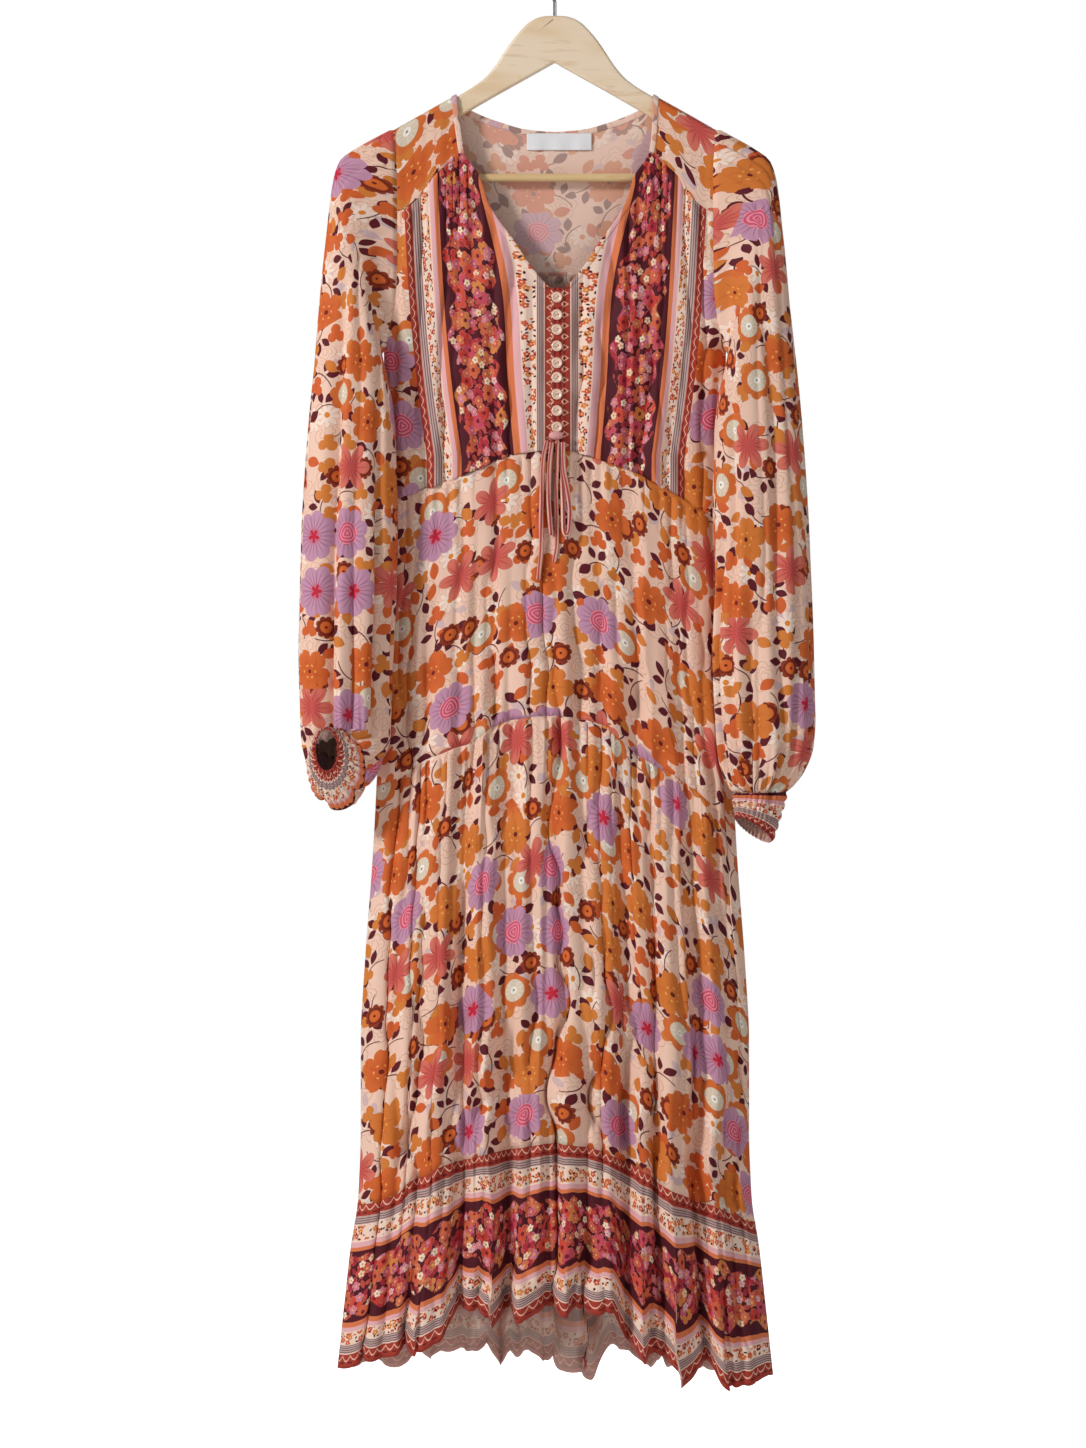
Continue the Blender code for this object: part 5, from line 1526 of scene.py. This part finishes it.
def neck_label():
    """A blank woven label inside the back neck, whose two ends are folded under; drawn as a flat
    strip with a slight sag.
    """
    x, height = np.meshgrid(
        LABEL_ACROSS + LABEL_WIDTH * np.linspace(-0.5, 0.5, 60),
        LABEL_MIDDLE + LABEL_HEIGHT * np.linspace(0.5, -0.5, 16),
    )
    sag = 0.0010 * np.sin(math.pi * (x - LABEL_ACROSS + LABEL_WIDTH / 2) / LABEL_WIDTH * 3) ** 2
    y = body_y(x, height, 1) - 0.5 * (BINDING_WALL + LABEL_WALL) - SEAM_GAP
    y = y - sag * (LABEL_MIDDLE + LABEL_HEIGHT / 2 - height) / LABEL_HEIGHT
    points = np.stack([x, y, height], -1)
    mesh = grid_mesh("label", points, flat_map(points))
    obj = piece("label_cloth", mesh, [label_white], ["neck_label"])
    declare(thicken(obj, LABEL_WALL, 0), points)


BUTTON_RADIUS = 0.0060
BUTTON_OUTLINE = table(
    "radius height",
    (0.0, 0.0011), (0.0022, 0.0011), (0.0031, 0.0012), (0.0037, 0.0017), (0.0043, 0.0021),
    (0.0050, 0.0022), (0.0056, 0.0019), (0.0060, 0.0012), (0.0059, 0.0006), (0.0053, 0.0001),
    (0.0, 0.0001),
)
BUTTON_HOLE = 0.00085
HOLE_SPACING = 0.0013


def buttons():
    """Nine buttons: a turned profile with a raised rim, two holes as dark discs of painted shade,
    and a slanted thread.
    """
    turn = 2 * math.pi * np.arange(48) / 48
    radius, raised = BUTTON_OUTLINE["radius"], BUTTON_OUTLINE["height"]
    for number, height in enumerate(BUTTON_HEIGHTS, 1):
        seat = body_y(BUTTON_ACROSS, height, -1) - PLACKET_RAISE - 0.0009
        middle = np.array([BUTTON_ACROSS, seat, height])
        points = middle + np.stack(np.broadcast_arrays(
            radius[:, None] * np.cos(turn), -raised[:, None], radius[:, None] * np.sin(turn)), -1)
        mesh = tube_mesh(f"button_{number}_body", points, BUTTON_RADIUS)
        piece(f"button_{number}_body", mesh, [button_cream], [f"button_{number}"])
        slant = math.radians(35 + 17 * math.sin(2.4 * number))
        across = np.array([math.cos(slant), 0.0, math.sin(slant)])
        face = middle - (0, 0.0011, 0)
        # Each hole is a dark disc: painted shade of the hole's recess
        for k, side in enumerate((-1, 1)):
            well = face + side * HOLE_SPACING * across
            route = np.stack([well + (0, 0.0003, 0), well - (0, 0.00006, 0)])
            sweep(f"button_{number}_hole_{k + 1}", route, BUTTON_HOLE, 12, [hole_painted_shade])
        bend = np.linspace(-1, 1, 9)[:, None]
        route = face + bend * HOLE_SPACING * across - (0, 1, 0) * (0.0001 + 0.0004 * (1 - bend**2))
        sweep(f"button_{number}_thread", route, 0.00032, 6, [thread_pale])


def smooth_route(points, count):
    """Evenly spaced points on a smooth curve through the given ones."""
    points = np.array(points)
    run = distances(points)
    curve = blend(np.linspace(0, run[-1], 800), run, points)
    length = distances(curve)
    even = np.linspace(0, length[-1], count)
    return np.stack([np.interp(even, length, curve[:, k]) for k in range(3)], -1)


def ties():
    """The tied cords: two free ends and two loops, from a wrapped knot below the placket."""
    for name, route in TIE_ROUTES.items():
        line = smooth_route(route, 90)
        free = name.startswith("tail")
        obj = sweep(f"{name}_cord", line, TIE_RADIUS, 20, [tie_print],
                    [f"tie_{name}"], round_ends=free)
    u = np.linspace(0.02, math.pi - 0.02, 22)[:, None]
    v = 2 * math.pi * np.arange(32)[None] / 32
    ball = np.stack(np.broadcast_arrays(
        np.cos(u), np.sin(u) * np.sin(v), np.sin(u) * np.cos(v)), -1)
    wraps = 1 + 0.10 * np.abs(np.cos(2.5 * math.pi * ball[:, :, :1] + 0.6 * ball[:, :, 2:]))
    points = np.array(KNOT_MIDDLE) + ball * KNOT_HALF * wraps * (0.95, 0.95, 0.95)
    ends = [np.repeat(points[k].mean(axis=0)[None, None], 32, 1) for k in (0, -1)]
    mesh = tube_mesh("knot", np.concatenate([ends[0], points, ends[1]]), 0.0045)
    piece("knot_wraps", mesh, [tie_print], ["tie_knot"])


# Stitches: a row of short thread dashes that follows a line on the cloth
STITCH_LENGTH = 0.0024
STITCH_PITCH = 0.0034
STITCH_RADIUS = 0.00022


def stitch_row(name, lines, thread):
    """Rows of small rounded dashes, each a six-sided rod with pointed ends, along the lines."""
    turn = 2 * math.pi * np.arange(6) / 6
    points, faces = [], []
    for line in lines:
        run = distances(line)
        for at in np.arange(STITCH_PITCH, run[-1] - STITCH_PITCH, STITCH_PITCH):
            start, end = (
                np.array([np.interp(at + k * STITCH_LENGTH / 2, run, line[:, axis])
                          for axis in range(3)]) for k in (-1, 1)
            )
            ahead = (end - start) / np.linalg.norm(end - start)
            side = np.cross(ahead, (0.3, 1.0, 0.2))
            side /= np.linalg.norm(side)
            other = np.cross(ahead, side)
            base = len(points)
            points.append(start)
            for k in (0.25, 0.75):
                ring = start + k * (end - start)
                points.extend(
                    ring + STITCH_RADIUS * (math.cos(angle) * side + math.sin(angle) * other)
                    for angle in turn
                )
            points.append(end)
            for k in range(6):
                n = (k + 1) % 6
                faces.append((base, base + 1 + n, base + 1 + k))
                faces.append((base + 1 + k, base + 1 + n, base + 7 + n, base + 7 + k))
                faces.append((base + 7 + k, base + 7 + n, base + 13))
    mesh = bpy.data.meshes.new(name)
    mesh.from_pydata([point.tolist() for point in points], [], faces)
    mesh.shade_smooth()
    piece(name, weld(mesh), [thread])


def stitches():
    """Edge stitching of the placket and of the front yoke seams."""
    low = seam(FRONT_SEAMS, "empire", np.zeros(1))[0]
    height = np.linspace(PLACKET_TOP - 0.002, low + 0.004, 60)
    at = np.linspace(0.02, 0.98, 60)
    half = np.interp(at, YOKE_SEAM_SHARE, YOKE_SEAM["across"]) + 0.0006
    high = np.interp(at, YOKE_SEAM_SHARE, YOKE_SEAM["height"]) + 0.0016
    straight, slanted = [], []
    for side in (-1, 1):
        x = NECK_CENTRE + side * (PLACKET_HALF - 0.0012) + 0 * height
        straight.append(np.stack([x, body_y(x, height, -1) - PLACKET_RAISE - 0.0009, height], -1))
        x = side * half + neck_shift(half, high)
        slanted.append(np.stack([x, body_y(half, high, -1) - 0.0006, high], -1))
    stitch_row("placket_stitches", straight, thread_rust)
    stitch_row("yoke_stitches", slanted, thread_pale)


# Hanger
def hanger_wood():
    """Flat shaped arms: a smooth outline, its edges rounded off on both faces."""
    under = np.linspace(RIDGE_START, WOOD_UNDER_CLOTH_END, 12)
    hidden = {"across": under, "height": ridge(under) - WOOD_UNDER_CLOTH}
    right = np.concatenate([
        np.stack(list(part.values()), -1) for part in (WOOD_TOP, hidden, WOOD_TIP, WOOD_LOWER)
    ])
    run = distances(right)
    right = blend(np.linspace(0, run[-1], 260), run, right)
    outline = np.concatenate([right, right[1:-1][::-1] * (-1, 1)])
    ahead = np.roll(outline, -1, axis=0) - np.roll(outline, 1, axis=0)
    ahead /= np.linalg.norm(ahead, axis=1, keepdims=True)
    inward = np.stack([ahead[:, 1], -ahead[:, 0]], -1)
    rings = []
    quarter = np.radians([90, 72, 54, 36, 18, 0])
    for sign in (-1, 1):
        angles = quarter if sign < 0 else quarter[::-1]
        for angle in angles:
            inset = WOOD_EDGE_ROUND * (1 - math.cos(angle))
            y = sign * (WOOD_THICKNESS / 2 - WOOD_EDGE_ROUND * (1 - math.sin(angle)))
            flat = outline + inward * inset
            rings.append(np.stack([flat[:, 0], 0 * flat[:, 0] + y, flat[:, 1]], -1))
    points = np.array(rings)
    count = points.shape[1]
    faces = []
    for i in range(len(points) - 1):
        for j in range(count):
            n = (j + 1) % count
            faces.append((i * count + j, (i + 1) * count + j, (i + 1) * count + n, i * count + n))
    faces.append(tuple(range(count)))
    faces.append(tuple(range((len(points) - 1) * count, len(points) * count))[::-1])
    mesh = bpy.data.meshes.new("wood")
    mesh.from_pydata(points.reshape(-1, 3).tolist(), [], faces)
    weld(mesh)
    mesh.shade_smooth()
    for face in list(mesh.polygons)[-2:]:
        face.use_smooth = False
    piece("wood", mesh, [wood_pale], ["hanger_wood"])


def arc(centre, radius, start, end, count):
    """Points on an arc in the XZ plane, angles in degrees from +X towards +Z."""
    angles = np.radians(np.linspace(start, end, count))
    x = centre[0] + radius * np.cos(angles)
    return np.stack([x, 0 * x, centre[1] + radius * np.sin(angles)], -1)


def hook():
    """Question-mark hook: a stem in the wood, a throat bend and most of a circle."""
    radius = HOOK_INNER_RADIUS + HOOK_WIRE / 2
    bend = HOOK_THROAT_RADIUS
    lower = math.sqrt((radius + bend) ** 2 - bend**2)
    middle = (-bend, -HOOK_INNER_RADIUS - lower)
    meets = math.degrees(math.atan2(lower, bend))
    stem = np.array([(0, 0, WOOD_APEX - HOOK_IN_WOOD), (0, 0, middle[1] - 0.001)])
    circle = arc((0.0, -HOOK_INNER_RADIUS), radius, meets - 180.0, HOOK_TIP_ANGLE - 360.0, 140)
    route = np.concatenate([stem, arc(middle, bend, 0.0, meets, 30), circle[1:]])
    sweep("hook", route, HOOK_WIRE / 2, 32, [steel], ["hanger_hook"], True)


label_white = plain_material("label_satin", "E9E8EA", 0.42)
button_cream = plain_material("button_resin", "EFCDB5", 0.30, coat=0.25)
# Dark colour of the button holes: painted shade
hole_painted_shade = plain_material("button_holes_painted_shade", "6A3A2C", 0.8)
thread_pale = plain_material("thread_pale", "EBCDB8", 0.7)
thread_rust = plain_material("thread_rust", "8E3A2C", 0.7)
steel = plain_material("hook_steel", "C9C9CC", 0.16, metallic=1.0)
wood_pale = wood_material("wood_pale", "F0DABE", "E2C195", (0.35, 1.0, 2.6))
bar_wood = wood_material("wood_bar", "E6C897", "D6AE74", (0.30, 1.6, 1.6))


TIE_STRIPES = (
    (0.0, "E8BDAC"), (0.14, "B5303A"), (0.28, "4E0F1C"), (0.42, "D9764A"), (0.56, "E8BDAC"),
    (0.70, "A5392B"), (0.84, "DE9F9E"),
)


def tie_material():
    """Lengthwise stripes round the cord, from its U, with a slight twist."""
    made, tree = new_material("tie_print")
    around, down, _ = split(tree, node(tree, "UVMap", uv_map="cloth").outputs["UV"])
    share = around / (2 * math.pi * TIE_RADIUS) + (down * 60).sin() * 0.05
    shade(tree, {"Base Color": stripes(tree, share, TIE_STRIPES), "Roughness": 0.62})
    return made


tie_print = tie_material()

neck_binding()
placket()
neck_label()
buttons()
ties()
stitches()
hanger_wood()
hook()
bar_route = np.stack([np.linspace(-BAR_HALF_LENGTH, BAR_HALF_LENGTH, 40),
                      np.zeros(40), np.full(40, BAR_HEIGHT)], -1)
sweep("bar", bar_route, BAR_RADIUS, 32, [bar_wood], ["hanger_bar"])

# Camera, light and floor
PIXEL = 0.0011
VIEW_X = (543 - 555) * PIXEL
VIEW_Z = -(0.062 + (724 - 12) * PIXEL)
VIEW_DISTANCE = 7.0
FRAME_HEIGHT = 1448 * PIXEL
SENSOR = 36.0
FLOOR_HEIGHT = -1.78

lens = bpy.data.cameras.new("camera")
lens.sensor_width = SENSOR
lens.lens = SENSOR * (VIEW_DISTANCE - 0.04) / FRAME_HEIGHT
camera = bpy.data.objects.new("camera", lens)
camera.location = (VIEW_X, -VIEW_DISTANCE, VIEW_Z)
camera.rotation_euler = (math.pi / 2, 0, 0)
bpy.context.scene.collection.objects.link(camera)
bpy.context.scene.camera = camera


def area_light(name, location, size, power, aim=(0.0, 0.0, -0.85)):
    data = bpy.data.lights.new(name, "AREA")
    data.shape = "DISK"
    data.size = size
    data.energy = power
    obj = bpy.data.objects.new(name, data)
    obj.location = location
    obj.rotation_euler = (Vector(aim) - Vector(location)).to_track_quat("-Z", "Y").to_euler()
    bpy.context.scene.collection.objects.link(obj)


area_light("key", (-3.4, -2.4, 1.3), 0.8, 145)
area_light("fill", (2.6, -3.2, -0.3), 2.4, 20)
area_light("back", (0.8, 3.2, 0.8), 2.2, 42)

world = bpy.data.worlds.new("studio")
bpy.context.scene.world = world
world.use_nodes = True
sky = world.node_tree
background = sky.nodes["Background"]
seen = sky.nodes.new("ShaderNodeLightPath")
strength = sky.nodes.new("ShaderNodeMapRange")
strength.inputs["To Min"].default_value = 0.21
strength.inputs["To Max"].default_value = 1.0
sky.links.new(seen.outputs["Is Camera Ray"], strength.inputs["Value"])
sky.links.new(strength.outputs["Result"], background.inputs["Strength"])
background.inputs["Color"].default_value = (1, 1, 1, 1)

bpy.ops.mesh.primitive_circle_add(
    vertices=96, radius=6.0, fill_type="NGON", location=(0, 0, FLOOR_HEIGHT)
)
floor = bpy.context.object
floor.name = "floor"
white = plain_material("floor_white", "F7F6F4", 0.9)
shade(white.node_tree, {
    "Emission Color": "FFFFFF",
    "Emission Strength": node(white.node_tree, "LightPath").outputs["Is Camera Ray"],
})
floor.data.materials.append(white)

bpy.context.scene.view_settings.view_transform = "Standard"
